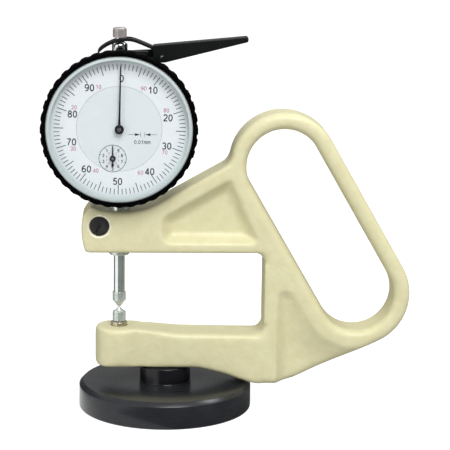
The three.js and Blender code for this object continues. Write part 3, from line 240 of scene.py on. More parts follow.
# Making and placing pieces
def rotate(bm, angle, axis, centre=(0, 0, 0)):
    bmesh.ops.rotate(bm, cent=centre, matrix=Matrix.Rotation(angle, 3, axis), verts=bm.verts)


def move(bm, *vector):
    bmesh.ops.translate(bm, vec=vector, verts=bm.verts)


def thicken(bm, *vector):
    # pulls a flat face out into a solid
    made = bmesh.ops.extrude_face_region(bm, geom=list(bm.faces))
    bmesh.ops.translate(bm, vec=vector, verts=[v for v in made["geom"] if isinstance(v, bmesh.types.BMVert)])
    bmesh.ops.recalc_face_normals(bm, faces=bm.faces)
    return bm


def bevelEdges(bm, edges, width, segments, clamp=True):
    bmesh.ops.bevel(bm, geom=edges, offset=width, offset_type="OFFSET", segments=segments, profile=0.5,
                    affect="EDGES", clamp_overlap=clamp, material=-1)


def softenEdges(bm, width, segments=2, angle=30):
    sharp = [e for e in bm.edges if len(e.link_faces) == 2 and e.calc_face_angle(0) > math.radians(angle)]
    bevelEdges(bm, sharp, width, segments)


def closeUp(bm):
    bmesh.ops.remove_doubles(bm, verts=bm.verts, dist=0.0005)
    bmesh.ops.recalc_face_normals(bm, faces=bm.faces)


def smoothShade(piece, angle=38):
    piece.data.polygons.foreach_set("use_smooth", [True] * len(piece.data.polygons))
    piece.data.set_sharp_from_angle(angle=math.radians(angle))
    return piece


def newObject(name, data):
    holder = bpy.data.objects.new(name, data)
    scene.collection.objects.link(holder)
    return holder


def toObject(bm, name, *finishes, smoothAngle=38):
    closeUp(bm)
    bmesh.ops.scale(bm, vec=(mm, mm, mm), verts=bm.verts)
    mesh = bpy.data.meshes.new(name)
    bm.to_mesh(mesh)
    bm.free()
    for finish in finishes:
        mesh.materials.append(finish)
    return smoothShade(newObject(name, mesh), smoothAngle)


def place(piece, body, slotName, *nodes):
    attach(piece, body)
    if nodes:
        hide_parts(*nodes)


def turned(profile, centre=(0, 0, 0), axis="Z", steps=96, edge=0.0):
    # profile points are (radius, height along the axis)
    bm = bmesh.new()
    verts = [bm.verts.new((r, 0, h)) for r, h in profile]
    edges = [bm.edges.new(pair) for pair in zip(verts, verts[1:])]
    bmesh.ops.spin(bm, geom=verts + edges, cent=(0, 0, 0), axis=(0, 0, 1), angle=2 * math.pi,
                   steps=steps, use_merge=True)
    closeUp(bm)
    if edge:
        softenEdges(bm, edge)
    if axis == "Y":
        rotate(bm, -math.pi / 2, "X")
    move(bm, *centre)
    return bm


def turnedPiece(name, finish, slotName, node, profile, x=0, steps=96, edge=0.06):
    # a turned piece of the stand with an upright axis
    place(toObject(turned(profile, (x, 0, 0), steps=steps, edge=edge), name, finish), "stand", slotName, node)


def roundDial(profile, edge=0.0):
    return turned(profile, (0, 0, dialZ), "Y", 144, edge)


def tube(inner, outer, front, back):
    return [(inner, front), (outer, front), (outer, back), (inner, back), (inner, front)]


def bow(x, z, rx, rz, start, end, steps=10):
    return [(x + rx * math.cos(math.radians(start + (end - start) * i / steps)),
             z + rz * math.sin(math.radians(start + (end - start) * i / steps))) for i in range(steps + 1)]


def arcOf(x, z, radius, start, end, steps):
    return bow(x, z, radius, radius, start, end, steps)


def outlineFace(corners, y=0.0, segments=7):
    # corners are (x, z) or (x, z, radius of the rounding)
    bm = bmesh.new()
    verts = [bm.verts.new((c[0], y, c[1])) for c in corners]
    bm.faces.new(verts)
    for i, corner in enumerate(corners):
        if len(corner) > 2:
            here = Vector(corner[:2])
            before = (Vector(corners[i - 1][:2]) - here).normalized()
            after = (Vector(corners[(i + 1) % len(corners)][:2]) - here).normalized()
            half = before.angle(after) / 2
            bmesh.ops.bevel(bm, geom=[verts[i]], offset=corner[2] / math.tan(half), offset_type="ABSOLUTE",
                            segments=segments, profile=0.5, affect="VERTICES", clamp_overlap=False, material=-1)
    return bm


def slab(corners, frontY, backY, segments=7):
    return thicken(outlineFace(corners, frontY, segments), 0, backY - frontY, 0)


def rod(radius, start, end, segments=48):
    # a cylinder from one point to another
    start, end = Vector(start), Vector(end)
    along = end - start
    turn = along.to_track_quat("Z", "Y").to_matrix().to_4x4()
    bm = bmesh.new()
    bmesh.ops.create_cone(bm, cap_ends=True, segments=segments, radius1=radius, radius2=radius,
                          depth=along.length, matrix=Matrix.Translation((start + end) / 2) @ turn)
    return bm


def deepRod(radius, x, z, start, end, segments=48):
    # a cylinder along the dial's direction
    return rod(radius, (x, start, z), (x, end, z), segments)


def block(low, high):
    low, high = Vector(low), Vector(high)
    bm = bmesh.new()
    size = Matrix.Diagonal((*(high - low), 1))
    bmesh.ops.create_cube(bm, size=1, matrix=Matrix.Translation((low + high) / 2) @ size)
    return bm


def baked(piece):
    # the piece's modifiers become its mesh
    bpy.context.view_layer.update()
    mesh = bpy.data.meshes.new_from_object(piece.evaluated_get(bpy.context.evaluated_depsgraph_get()))
    piece.modifiers.clear()
    old = piece.data
    piece.data = mesh
    bpy.data.meshes.remove(old)


def carve(piece, cutters, operation="DIFFERENCE"):
    tools = [toObject(bm, f"{piece.name}Tool{i}") for i, bm in enumerate(cutters)]
    for tool in tools:
        step = piece.modifiers.new("carve", "BOOLEAN")
        step.operation = operation
        step.solver = "MANIFOLD"
        step.object = tool
    baked(piece)
    for tool in tools:
        bpy.data.objects.remove(tool)
    return piece


def secondFinish(piece, x, z, chosen):
    # faces chosen by their distance from (x, z) and their depth take the piece's second finish
    for face in piece.data.polygons:
        if chosen(math.hypot(face.center.x / mm - x, face.center.z / mm - z), face.center.y / mm):
            face.material_index = 1


def joined(*parts):
    # several closed shapes as one mesh
    whole = parts[0]
    for part in parts[1:]:
        holder = bpy.data.meshes.new("part")
        part.to_mesh(holder)
        part.free()
        whole.from_mesh(holder)
        bpy.data.meshes.remove(holder)
    return whole


def remeshed(piece, voxel):
    remesh = piece.modifiers.new("remesh", "REMESH")
    remesh.mode = "VOXEL"
    remesh.voxel_size = voxel * mm
    baked(piece)


# Casting: the cream frame with its loop handle
casting = {"half": 9.0, "rounding": 2.85, "armRounding": 1.9, "crispRounding": 1.3, "voxel": 0.54, "smoothing": 5,
           "armSmoothing": 6, "archRadius": 33, "throatX": 56.6, "throatLow": 30.4, "throatHigh": 63.2,
           "armEnd": -9.3, "armLow": 17.1, "armHigh": 32.6, "bossRadius": 9.3, "loopTop": (63.6, 97.2),
           "loopBottom": (93.1, 46.7), "ringRadius": 21.0, "slotRadius": 14.6, "slotRounding": 3.1,
           "upperPocket": [(16.7, 67.1, 3.6), (54.4, 67.1, 2), (42.9, 92.6, 1.5), (16.7, 77.3, 4.2)],
           "upperWall": 4.7, "lowerLeft": 61.8, "leftWall": 5.0, "lowerTop": 48.6, "topWall": 4.0, "loopWall": 15.0,
           "pocketDepth": 4.3, "stemBore": 4.25, "bushBore": 3.4, "baseScrewBore": 3.25, "shankBore": 2.25,
           "slit": 0.6, "rimRadius": 4.5}


def slotTool():
    # the grip opening, flared where it meets the two faces
    c = casting
    topX, topZ = c["loopTop"]
    bottomX, bottomZ = c["loopBottom"]
    lean = math.degrees(math.atan2(bottomX - topX, topZ - bottomZ))
    flare, steps, beyond = c["slotRounding"], 8, 3
    wide = c["slotRadius"] + flare
    outline = [*arcOf(topX, topZ, wide, lean, lean + 180, 32),
               *arcOf(bottomX, bottomZ, wide, lean + 180, lean + 360, 32)]
    bm = slab(outline, -c["half"] - beyond, -c["half"])
    last = max(bm.faces, key=lambda face: face.calc_center_median().y)
    for i in range(steps):
        before, after = (math.radians(90 * (steps - j) / steps) for j in (i, i + 1))
        bmesh.ops.inset_region(bm, faces=[last], thickness=flare * (math.cos(after) - math.cos(before)),
                               use_boundary=True, use_even_offset=True)
        bmesh.ops.translate(bm, vec=(0, flare * (math.sin(before) - math.sin(after)), 0), verts=last.verts)
    straight = bmesh.ops.extrude_discrete_faces(bm, faces=[last])["faces"][0]
    bmesh.ops.translate(bm, vec=(0, c["half"] - flare, 0), verts=straight.verts)
    bmesh.ops.delete(bm, geom=[straight], context="FACES_ONLY")
    bmesh.ops.mirror(bm, geom=[*bm.verts, *bm.edges, *bm.faces], axis="Y", merge_dist=0.01)
    closeUp(bm)
    return bm


def depthInside(points, corners):
    # distance from each point to the outline, positive inside
    nearest = np.full(len(points), 1e9)
    inside = np.zeros(len(points), bool)
    for (ax, az), (bx, bz) in zip(corners, corners[1:] + corners[:1]):
        edge = np.array((bx - ax, bz - az))
        offset = points - (ax, az)
        share = np.clip(offset @ edge / max(edge @ edge, 1e-9), 0, 1)
        nearest = np.minimum(nearest, np.linalg.norm(offset - share[:, None] * edge, axis=1))
        if az != bz:
            crosses = (az > points[:, 1]) != (bz > points[:, 1])
            inside ^= crosses & (points[:, 0] < ax + (points[:, 1] - az) * (bx - ax) / (bz - az))
    return np.where(inside, nearest, -nearest)


def hollow(share):
    # how far a pocket has sunk: steep at the rim, easing into the floor
    return 1 - (1 - np.clip(share, 0, 1)) ** 2


def sinkPockets(bm):
    # presses both pockets of the casting into its two faces
    c = casting
    places = np.array([v.co for v in bm.verts]) / mm
    x, z = places[:, 0], places[:, 2]
    top, axis = np.array(c["loopTop"]), np.subtract(c["loopBottom"], c["loopTop"])
    offset = places[:, [0, 2]] - top
    along = np.clip(offset @ axis / (axis @ axis), 0, 1)
    fromLoop = np.linalg.norm(offset - along[:, None] * axis, axis=1) - c["ringRadius"]
    upper = hollow(depthInside(places[:, [0, 2]], cornersOf(c["upperPocket"])) / c["upperWall"])
    lower = (hollow((x - c["lowerLeft"]) / c["leftWall"]) * hollow((c["lowerTop"] - z) / c["topWall"])
             * hollow(fromLoop / c["loopWall"]))
    sink = c["pocketDepth"] * np.maximum(upper, lower)
    straight = c["half"] - c["rounding"]
    moved = places[:, 1] - np.clip(places[:, 1] / straight, -1, 1) * sink
    for v, y in zip(bm.verts, moved):
        v.co.y = y * mm


def cornersOf(outline):
    # the outline's corners with their roundings worked in
    bm = outlineFace(outline)
    corners = [(v.co.x, v.co.z) for v in next(iter(bm.faces)).verts]
    bm.free()
    return corners


def armTool(side):
    # trims one side of the lower arm: round the contact, a waist, then nearly full width
    boss = [(x, side * z) for x, z in arcOf(0, 0, casting["bossRadius"], 180, 70, 22)]
    plan = [(-16, 0), *boss, (8.3, side * 7.2, 5), (15.5, side * 8.4, 8), (26, side * 9.0, 9),
            (40, side * 9.05), (40, side * 18), (-16, side * 18)]
    bm = slab(plan, -36, -12, segments=6)
    rotate(bm, math.pi / 2, "X")
    for v in bm.verts:
        v.co.z = abs(v.co.z)
    return bm


def roundedSlab(corners, half, rounding):
    bm = slab(corners, -half, half)
    rim = [e for e in bm.edges if abs(e.verts[0].co.y - e.verts[1].co.y) < 0.01]
    bevelEdges(bm, rim, rounding, 6, clamp=False)
    return bm


def castingOutlines():
    # the whole body, then the lower arm, the upper arm and the post by rounding, as their edges are crisper
    c = casting
    arch = arcOf(0, dialZ, c["archRadius"], -102, -60.5, 24)
    archX, archZ = arch[-1]
    shoulderX = 42.63
    shoulder = (shoulderX, archZ + (shoulderX - archX) * math.tan(math.radians(29.5)), 7)
    back, end = c["throatX"], c["armEnd"]
    noses, arms = {}, {}
    for r in (3, 1.5):
        noses[r] = [(-13.1, c["throatHigh"], r), (-15.3, 72.6, 22), (-13.9, 78.2, 8), (-11.2, 81.98, r), *arch]
        arms[r] = [(52.1, 10.7, 18), (41.0, 14.7, 18), (31.3, 17.1, 18), (end, c["armLow"], r),
                   (end, c["armHigh"], r), (5.6, 32.6, 18), (23.3, 30.9, 18)]
    body = [*noses[3], shoulder, *arcOf(*c["loopTop"], c["ringRadius"], 164, 30.3, 48),
            *arcOf(*c["loopBottom"], c["ringRadius"], 30.3, -64.1, 32), (66.0, 10.2, 18), *arms[3],
            (back, c["throatLow"], 4), (back, c["throatHigh"], 4)]
    lowerArm = [(back, 10.5), *arms[1.5], (back, c["throatLow"])]
    upperArm = [*noses[1.5], shoulder[:2], (back, c["throatHigh"])]
    post = [(back, 34.8), (back, 58.8), (62, 58.8), (62, 34.8)]
    return body, {c["armRounding"]: [lowerArm], c["crispRounding"]: [upperArm, post]}


def smoothVerts(bm, verts, rounds):
    for _ in range(rounds):
        bmesh.ops.smooth_vert(bm, verts=verts, factor=0.5, use_axis_x=True, use_axis_y=True, use_axis_z=True)


def makeCasting():
    c = casting
    body, crisper = castingOutlines()
    piece = toObject(roundedSlab(body, c["half"], c["rounding"]), "castFrame", cream)
    remeshed(piece, c["voxel"])
    parts = [roundedSlab(shape, c["half"] - 0.05, rounding) for rounding in crisper for shape in crisper[rounding]]
    carve(piece, parts, "UNION")
    carve(piece, [slotTool(), armTool(1), armTool(-1)])
    remeshed(piece, c["voxel"])
    bm = bmesh.new()
    bm.from_mesh(piece.data)
    sinkPockets(bm)
    smoothVerts(bm, bm.verts, c["smoothing"])
    lowerArm = [v for v in bm.verts if v.co.x < 32 * mm and 14 * mm < v.co.z < 36 * mm]
    smoothVerts(bm, lowerArm, c["armSmoothing"])
    bm.to_mesh(piece.data)
    bm.free()
    # bores for the stem, the anvil's bush and the base screw, the clamp screw's seat and shank, the slit
    seat = turned([(0, -20), (5, -20), (5, -9.25), (c["rimRadius"], -9.02), (3.88, -8.45), (3.75, -4.75), (0, -4.75)],
                  (screwX, 0, screwZ), "Y", 64)
    carve(piece, [rod(c["stemBore"], (0, 0, 60), (0, 0, 90)), rod(c["bushBore"], (0, 0, 24.35), (0, 0, 40)),
                  rod(c["baseScrewBore"], (baseX, 0, 10), (baseX, 0, 25.35)), seat,
                  deepRod(c["shankBore"], screwX, screwZ, -6, 20),
                  block((-20, -c["slit"], 60), (-3, c["slit"], 90))])
    smoothShade(piece, 50)
    piece.data.materials.clear()
    piece.data.materials.append(cream)
    piece.data.materials.append(creamRimHighlight)
    # the chamfer round the clamp screw's seat takes the paler cream: a painted highlight on the rim
    secondFinish(piece, screwX, screwZ, lambda across, depth: across < c["rimRadius"] + 0.05 and depth < -8.4)
    place(piece, "stand", "cream_paint", "frame")


print("casting")
makeCasting()


# Base: blackened disc and collar under the lower arm; profiles are (radius, height)
base = {"disc": [(5.25, 0), (33.5, 0), (34, 0.5), (34, 8.9), (32.4, 10.5), (3.25, 10.5), (3.25, 7), (5.25, 7),
                 (5.25, 0)],
        "collar": [(3.25, 10.5), (10.16, 10.5), (10, 10.66), (10, 16.5), (9.4, 17.1), (3.25, 17.1), (3.25, 10.5)]}


def makeBase():
    turnedPiece("baseDisc", baseBlack, "black_oxide", "base_disc", base["disc"], baseX, 192, 0.12)
    turnedPiece("baseCollar", collarBlack, "black_oxide", "base_collar", base["collar"], baseX, 128, 0.1)


# Clamp screw in the nose of the casting; profiles are (radius, distance along the axis)
clampScrew = {"profile": [(0, -8.2), (1.3, -8.2), (1.6, -8.35), (3.4, -8.35), (3.65, -8.1), (3.65, -5), (2, -5),
                          (2, 6.5), (0, 6.5)],
              "slot": ((-2.7, -9.5, -0.42), (0.5, -7.4, 0.42)), "slotTurn": -62}


def makeClampScrew():
    head = turned(clampScrew["profile"], (screwX, 0, screwZ), "Y", 64, 0.12)
    piece = toObject(head, "clampScrew", screwBlack)
    slot = block(*clampScrew["slot"])
    rotate(slot, math.radians(clampScrew["slotTurn"]), "Y")
    move(slot, screwX, 0, screwZ)
    carve(piece, [slot])
    place(smoothShade(piece), "stand", "black_oxide", "clamp_screw")


# Contacts, bushes, stem and cap on the measuring axis: ends are (tip, ball, length of the cone), bodies are
# (radius, depth of the flutes, from, to, number of flutes) and profiles are (radius, height)
contacts = {"neck": 2.35, "shank": 1.2, "lowerEnd": (39.9, 0.95, 1.8), "lowerBody": (2.6, 0.42, 34.45, 38.15, 17),
            "upperEnd": (40.05, 1.1, 2.6), "upperBody": (2.62, 0.42, 42.6, 45.5, 17),
            "ring": [(0, 45.6), (2.62, 45.6), (2.62, 46.1), (0, 46.1)]}
sleeves = {"anvilBush": [(1.45, 24.6), (3.15, 24.6), (3.15, 33.9), (2.85, 34.2), (1.45, 34.2), (1.45, 24.6)],
           "stem": [(3.35, 61.2), (3.7, 61.2), (4, 61.6), (4, 82.4), (3.5, 82.4), (3.5, 87.4), (2.68, 87.4),
                    (2.68, 71.05), (3.35, 71.05), (3.35, 61.2)],
           "topBush": [(1.72, 137.1), (2.35, 137.1), (2.35, 140.67), (3, 140.67), (3, 143.2), (2.6, 143.8),
                       (1.9, 144.1), (1.85, 145.2), (1.72, 145.2), (1.72, 137.1)]}
liftCap = {"body": (2.7, 0.16, 145.98, 149.1, 36), "bore": 1.85,
           "top": [(0, 148.2), (2.56, 148.2), (2.56, 149.3), (2.1, 149.76), (0, 149.76)]}


def fluted(radius, depth, low, high, teeth):
    # a ring of straight flutes with softened ends
    outline = []
    for i in range(teeth):
        for share, r in ((0, radius), (0.28, radius), (0.5, radius - depth), (0.78, radius - depth)):
            angle = 2 * math.pi * (i + share) / teeth
            outline.append((r * math.cos(angle), r * math.sin(angle)))
    bm = bmesh.new()
    bm.faces.new([bm.verts.new((x, y, low)) for x, y in outline])
    return thicken(bm, 0, 0, high - low)


def mergeSolids(name, finish, *parts):
    piece = toObject(parts[0], name, finish)
    for part in parts[1:]:
        carve(piece, [part], "UNION")
    return smoothShade(piece)


def ballEnd(side, tip, ball, cone):
    # the rounded tip of a contact and the cone behind it, up for side 1 and down for side -1
    neck, back = contacts["neck"], tip + side * cone
    points = [(0, tip)]
    for angle in range(12, 73, 12):
        a = math.radians(angle)
        points.append((ball * math.sin(a), tip + side * ball * (1 - math.cos(a))))
    return turned([*points, (neck, back), (neck, back + side * 0.5), (0, back + side * 0.5)], steps=64, edge=0.06)


def makeContacts():
    c = contacts
    anvil = mergeSolids("anvilTip", tipSteel, ballEnd(-1, *c["lowerEnd"]), fluted(*c["lowerBody"]),
                        rod(c["shank"], (0, 0, 29.2), (0, 0, 38)))
    place(anvil, "stand", "chrome", "anvil_tip")
    contact = mergeSolids("contactTip", tipSteel, ballEnd(1, *c["upperEnd"]), fluted(*c["upperBody"]),
                          turned(c["ring"], steps=64, edge=0.06), rod(2.3, (0, 0, 45), (0, 0, 45.8)),
                          rod(c["shank"], (0, 0, 43.5), (0, 0, 51.1)))
    place(contact, "spindle", "chrome", "contact_tip")
    turnedPiece("anvilBush", brass, "brass", "anvil_bush", sleeves["anvilBush"], steps=64, edge=0.08)
    turnedPiece("stemTube", tipSteel, "chrome", "stem", sleeves["stem"])
    turnedPiece("topBush", chrome, "chrome", "top_bush", sleeves["topBush"])


def makeLiftCap():
    cap = mergeSolids("liftCap", capSteel, fluted(*liftCap["body"]), turned(liftCap["top"], steps=72, edge=0.08))
    carve(cap, [rod(liftCap["bore"], (0, 0, 143), (0, 0, 148.1))])
    place(smoothShade(cap), "spindle", "chrome", "spindle_cap")


# Case with its bosses, back cover and screws; places round the dial are (radius, angles)
caseSizes = {"inner": 24.8, "wall": 27.2, "front": -10.9, "back": 6.5, "coverScrews": (24.2, (60, 120, 240, 300)),
             "coverBore": 1.05, "plateScrews": (21.2, (30, 150, 225)), "plateBore": 0.95,
             "plateLugs": (23.6, (30, 150, 225)),
             "cover": [(0, 6.5), (27.2, 6.5), (27.2, 7.9), (26.6, 8.3), (19, 8.3), (18.6, 8.05), (18.2, 8.3), (0, 8.3)],
             "screw": [(0, 4.7), (0.8, 4.7), (0.8, 8.3), (1.6, 8.3), (1.6, 8.65), (1.2, 9.0), (0, 9.0)]}


def aroundDial(radius, angles):
    return [(radius * math.cos(math.radians(a)), dialZ + radius * math.sin(math.radians(a))) for a in angles]


def makeCase():
    c = caseSizes
    low, high = (corner.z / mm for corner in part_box("case_body"))
    inner, wall, front, back = (c[key] for key in ("inner", "wall", "front", "back"))
    covers, plates = aroundDial(*c["coverScrews"]), aroundDial(*c["plateScrews"])
    parts = [roundDial(tube(inner, wall, front, back), 0.15), *(deepRod(2.4, x, z, 4.3, back) for x, z in covers)]
    for plate, lug in zip(plates, aroundDial(*c["plateLugs"])):
        parts += [deepRod(2.6, *plate, -1, 2.8), deepRod(2.3, *lug, -1, 2.8)]
    # the bosses that hold the stem and the top bush
    stemTop, bushFoot = dialZ - inner + 0.2, dialZ + inner - 0.2
    parts.append(turned([(0, low), (5.1, low), (5.5, low + 0.4), (5.5, stemTop), (0, stemTop)], steps=64))
    parts.append(turned([(0, bushFoot), (4.6, bushFoot), (4.6, high), (0, high)], steps=64))
    shell = mergeSolids("caseBody", satin, *parts)
    carve(shell, [rod(3.75, (0, 0, 80), (0, 0, 88)), rod(2.6, (0, 0, 136.5), (0, 0, 142)),
                  *(deepRod(c["coverBore"], x, z, 2.3, 8, 24) for x, z in covers),
                  *(deepRod(c["plateBore"], x, z, -0.2, 5, 24) for x, z in plates)])
    place(smoothShade(shell, 30), "stand", "satin_case", "case_body")


def makeBackCover():
    cover = toObject(roundDial(caseSizes["cover"], 0.08), "backCover", satin)
    places = aroundDial(*caseSizes["coverScrews"])
    carve(cover, [deepRod(caseSizes["coverBore"], x, z, 6, 9, 24) for x, z in places])
    place(smoothShade(cover, 30), "stand", "satin_case", "back_cover")
    for i, (x, z) in enumerate(places):
        screw = toObject(turned(caseSizes["screw"], (x, 0, z), "Y", 40, 0.05), f"coverScrew{i + 1}", steel)
        slot = block((-2, 8.6, -0.2), (2, 9.6, 0.2))
        rotate(slot, 0.6 + 1.3 * i, "Y")
        move(slot, x, 0, z)
        place(smoothShade(carve(screw, [slot])), "stand", "steel", f"back_cover_screw_{i + 1}")


# Bezel with its grip, and the crystal in it
grip = {"lobes": 40, "top": 29.93, "valley": 29.5, "flat": 0.23, "foot": 0.36, "steps": 480, "paleInside": 27.7}
crystal = {"radius": 27.95, "edgeFrom": 26.5, "front": -15.5, "back": -14.3}


def makeBezel():
    g = grip
    bm = turned([(28.0, -15.9), (29.1, -15.9), (29.55, -15.5), (g["top"], -15.0), (g["top"], -9.4), (29.4, -8.9),
                 (27.55, -8.9), (27.55, -13.45), (26.6, -13.45), (26.6, -14.25), (28.0, -14.25), (28.0, -15.9)],
                (0, 0, 0), "Y", g["steps"])
    for v in bm.verts:
        radius = math.hypot(v.co.x, v.co.z)
        if radius > g["valley"]:
            turn = (math.degrees(math.atan2(v.co.z, v.co.x)) / (360 / g["lobes"])) % 1
            away = min(turn, 1 - turn)
            share = min(max((away - g["flat"]) / (g["foot"] - g["flat"]), 0), 1)
            share = share * share * (3 - 2 * share)
            target = min(radius, g["top"] + (g["valley"] - g["top"]) * share)
            v.co.x *= target / radius
            v.co.z *= target / radius
    softenEdges(bm, 0.1, 2, 35)
    move(bm, 0, 0, dialZ)
    piece = toObject(bm, "gripBezel", bezelBlack, crystalEdgePaintedLight)
    # the bore inside the bezel, in front of the dial, takes the crystal edge's pale paint: painted light where the
    # black bore would show
    secondFinish(piece, 0, dialZ, lambda across, depth: across < g["paleInside"] and depth > crystal["back"])
    place(piece, "bezel", "black_bezel", "bezel")


def makeCrystal():
    radius, edgeFrom, front, back = (crystal[key] for key in ("radius", "edgeFrom", "front", "back"))
    glass = roundDial([(0, front), (edgeFrom, front), (27.5, -15.4), (radius, -15.0), (radius, back),
                       (edgeFrom + 0.3, back), (0, back)])
    piece = toObject(glass, "crystalDisc", crystalClear, crystalEdgePaintedLight, smoothAngle=50)
    # the crystal's edge outward from edgeFrom takes pale opaque paint: painted light of the acrylic edge
    secondFinish(piece, 0, dialZ, lambda across, depth: across > edgeFrom - 0.1)
    place(piece, "bezel", "crystal", "crystal")


# Printed dial; places of the numbers are millimetres from the middle of the print
dial = {"front": -11.8, "back": -11.3, "radius": 27.3, "opening": 16.3, "centre": 16.22, "turn": 1.2,
        "moved": (0.15, -0.25), "tickEnd": 25.05, "short": (22.8, 0.25), "long": (21.3, 0.27), "ink": 0.03,
        "blackFigures": (2.75, 0.16), "redFigures": (1.65, 0.13)}
blackPlaces = {"0": (0.7581, 19.485), "10": (12.5331, 15.1034), "20": (18.3449, 4.6393), "30": (17.9406, -6.1857),
               "40": (11.5224, -16.0828), "50": (-0.7075, -19.9489), "60": (-12.5331, -15.2065),
               "70": (-18.1933, -4.8455), "80": (-17.789, 5.8249), "90": (-11.3708, 15.8766)}
redPlaces = {"90": (9.0966, 15.7736), "80": (17.6879, 7.4744), "70": (17.1825, -8.6084), "60": (7.9848, -16.4952),
             "40": (-8.9956, -15.8251), "30": (-17.5868, -7.4228), "20": (-17.1825, 8.4023),
             "10": (-7.9848, 16.2375)}
# the counter's figures are (degrees apart, radius, height, weight), its ticks (from, to, width)
counterDial = {"ring": (5.08, 5.27), "ticks": (4.45, 5.15, 0.12), "black": (-36, 3.7, 1.2, 0.2),
               "red": (36, 2.4, 0.7, 0.19)}
resolution = {"text": "0.01mm", "textX": 8.8, "textBelow": 4.9807, "height": 1.5, "weight": 0.145,
              "lineBelow": 2.1077, "ends": (3.55, 14.3), "bars": (8.05, 9.7)}
printY = dial["front"] - 0.012
inkFront, inkBack = printY - dial["ink"] / 2, printY + dial["ink"] / 2


def marksMesh(marks, x, z):
    # marks are (radius from, radius to, width, angle clockwise from the top), round (x, z)
    bm = bmesh.new()
    for start, end, width, angle in marks:
        turn = Matrix.Rotation(math.radians(angle), 4, "Y")
        shape = Matrix.Diagonal((width, dial["ink"], end - start, 1))
        bmesh.ops.create_cube(bm, size=1, matrix=turn @ Matrix.Translation((0, printY, (start + end) / 2)) @ shape)
    move(bm, x, 0, z)
    return bm


# centre lines of the plain figures, one unit high; a stroke that ends where it starts is closed
figures = {
    "0": [bow(0.32, 0.5, 0.25, 0.43, 0, 360, 24)],
    "1": [[(0.12, 0.72), (0.28, 0.79), (0.4, 0.93)], [(0.4, 0.97), (0.4, 0.04)]],
    "2": [bow(0.32, 0.68, 0.25, 0.25, 165, -40, 12) + [(0.08, 0.1)], [(0.05, 0.07), (0.6, 0.07)]],
    "3": [bow(0.31, 0.71, 0.22, 0.22, 155, -90, 10), bow(0.31, 0.29, 0.26, 0.22, 90, -155, 12)],
    "4": [[(0.46, 0.04), (0.46, 0.95)], [(0.46, 0.93), (0.06, 0.29)], [(0.03, 0.28), (0.64, 0.28)]],
    "5": [[(0.57, 0.93), (0.16, 0.93)], [(0.18, 0.93), (0.11, 0.5)], bow(0.31, 0.33, 0.26, 0.26, 140, -150, 12)],
    "6": [bow(0.32, 0.32, 0.25, 0.25, 0, 360, 20), bow(0.4, 0.42, 0.33, 0.51, 190, 70, 10)],
    "7": [[(0.05, 0.92), (0.6, 0.92)], [(0.58, 0.9), (0.4, 0.6), (0.28, 0.3), (0.24, 0.04)]],
    "8": [bow(0.32, 0.73, 0.2, 0.2, 0, 360, 18), bow(0.32, 0.29, 0.25, 0.22, 0, 360, 20)],
    "9": [bow(0.32, 0.68, 0.25, 0.25, 0, 360, 20), bow(0.24, 0.58, 0.33, 0.51, 10, -110, 10)],
    ".": [[(0.1, 0.05), (0.2, 0.05)], [(0.1, 0.14), (0.2, 0.14)]],
    "m": [[(0.1, 0.04), (0.1, 0.72)], bow(0.27, 0.52, 0.17, 0.18, 180, 0, 8) + [(0.44, 0.04)],
          bow(0.61, 0.52, 0.17, 0.18, 180, 0, 8) + [(0.78, 0.04)]]}
figureWidth = {".": 0.36, "m": 0.98}


def figureMesh(text, height, weight, x, z, angle=0.0):
    # figures as flattened round strokes, centred on (x, z)
    widths = [figureWidth.get(letter, 0.76) for letter in text]
    curve = bpy.data.curves.new("figures", "CURVE")
    curve.dimensions = "3D"
    curve.bevel_depth = weight / 2
    curve.bevel_resolution = 1
    curve.use_fill_caps = True
    start = -sum(widths) / 2
    for letter, width in zip(text, widths):
        for stroke in figures[letter]:
            closed = math.dist(stroke[0], stroke[-1]) < 0.001
            points = stroke[:-1] if closed else stroke
            spline = curve.splines.new("POLY")
            spline.points.add(len(points) - 1)
            spline.use_cyclic_u = closed
            for point, (u, v) in zip(spline.points, points):
                point.co = (start + u + 0.04, v - 0.5, 0, 1)
        start += width
    holder = newObject("figures", curve)
    bpy.context.view_layer.update()
    mesh = bpy.data.meshes.new_from_object(holder.evaluated_get(bpy.context.evaluated_depsgraph_get()))
    bm = bmesh.new()
    bm.from_mesh(mesh)
    bpy.data.objects.remove(holder)
    bpy.data.curves.remove(curve)
    bpy.data.meshes.remove(mesh)
    bmesh.ops.scale(bm, vec=(height * 0.92, height, dial["ink"] / weight), verts=bm.verts)
    turn = Matrix.Rotation(math.radians(angle), 4, "Y") @ Matrix.Rotation(math.pi / 2, 4, "X")
    bmesh.ops.transform(bm, matrix=Matrix.Translation((x, printY, z)) @ turn, verts=bm.verts)
    return bm


def numbersMesh(places, height, weight):
    middleX, middleZ = dial["moved"][0], dialZ + dial["moved"][1]
    return joined(*[figureMesh(number, height, weight, middleX + x, middleZ + z, dial["turn"])
                    for number, (x, z) in places.items()])


def makeDial():
    d = dial
    ring = roundDial(tube(d["opening"], d["radius"], d["front"], d["back"]))
    place(toObject(ring, "dialRing", dialWhite), "bezel", "dial_white", "dial_ring")
    disc = roundDial([(0, d["front"]), (d["centre"], d["front"]), (d["centre"], d["back"]), (0, d["back"])])
    centre = toObject(disc, "dialCentre", dialGrey)
    carve(centre, [deepRod(0.8, x, dialZ, -11.5, -8.2) for x in (-14, 14)], "UNION")
    carve(centre, [deepRod(0.8, 0, dialZ, -13, -10), deepRod(1.15, counterX, counterZ, -13, -10)])
    place(smoothShade(centre), "stand", "dial_white", "dial_centre")
    marks = []
    for i in range(100):
        start, width = d["short"] if i % 5 else d["long"]
        marks.append((start, d["tickEnd"], width, 3.6 * i + d["turn"]))
    ticks = marksMesh(marks, d["moved"][0], dialZ + d["moved"][1])
    place(toObject(ticks, "dialTicks", inkBlack), "bezel", "dial_white")
    black = numbersMesh(blackPlaces, *d["blackFigures"])
    place(toObject(black, "dialNumbers", inkBlack), "bezel", "dial_white")
    red = numbersMesh(redPlaces, *d["redFigures"])
    place(toObject(red, "dialReverseNumbers", inkRed), "bezel", "dial_white")


def inkBar(left, right, low, high):
    return block((left, inkFront, low), (right, inkBack, high))


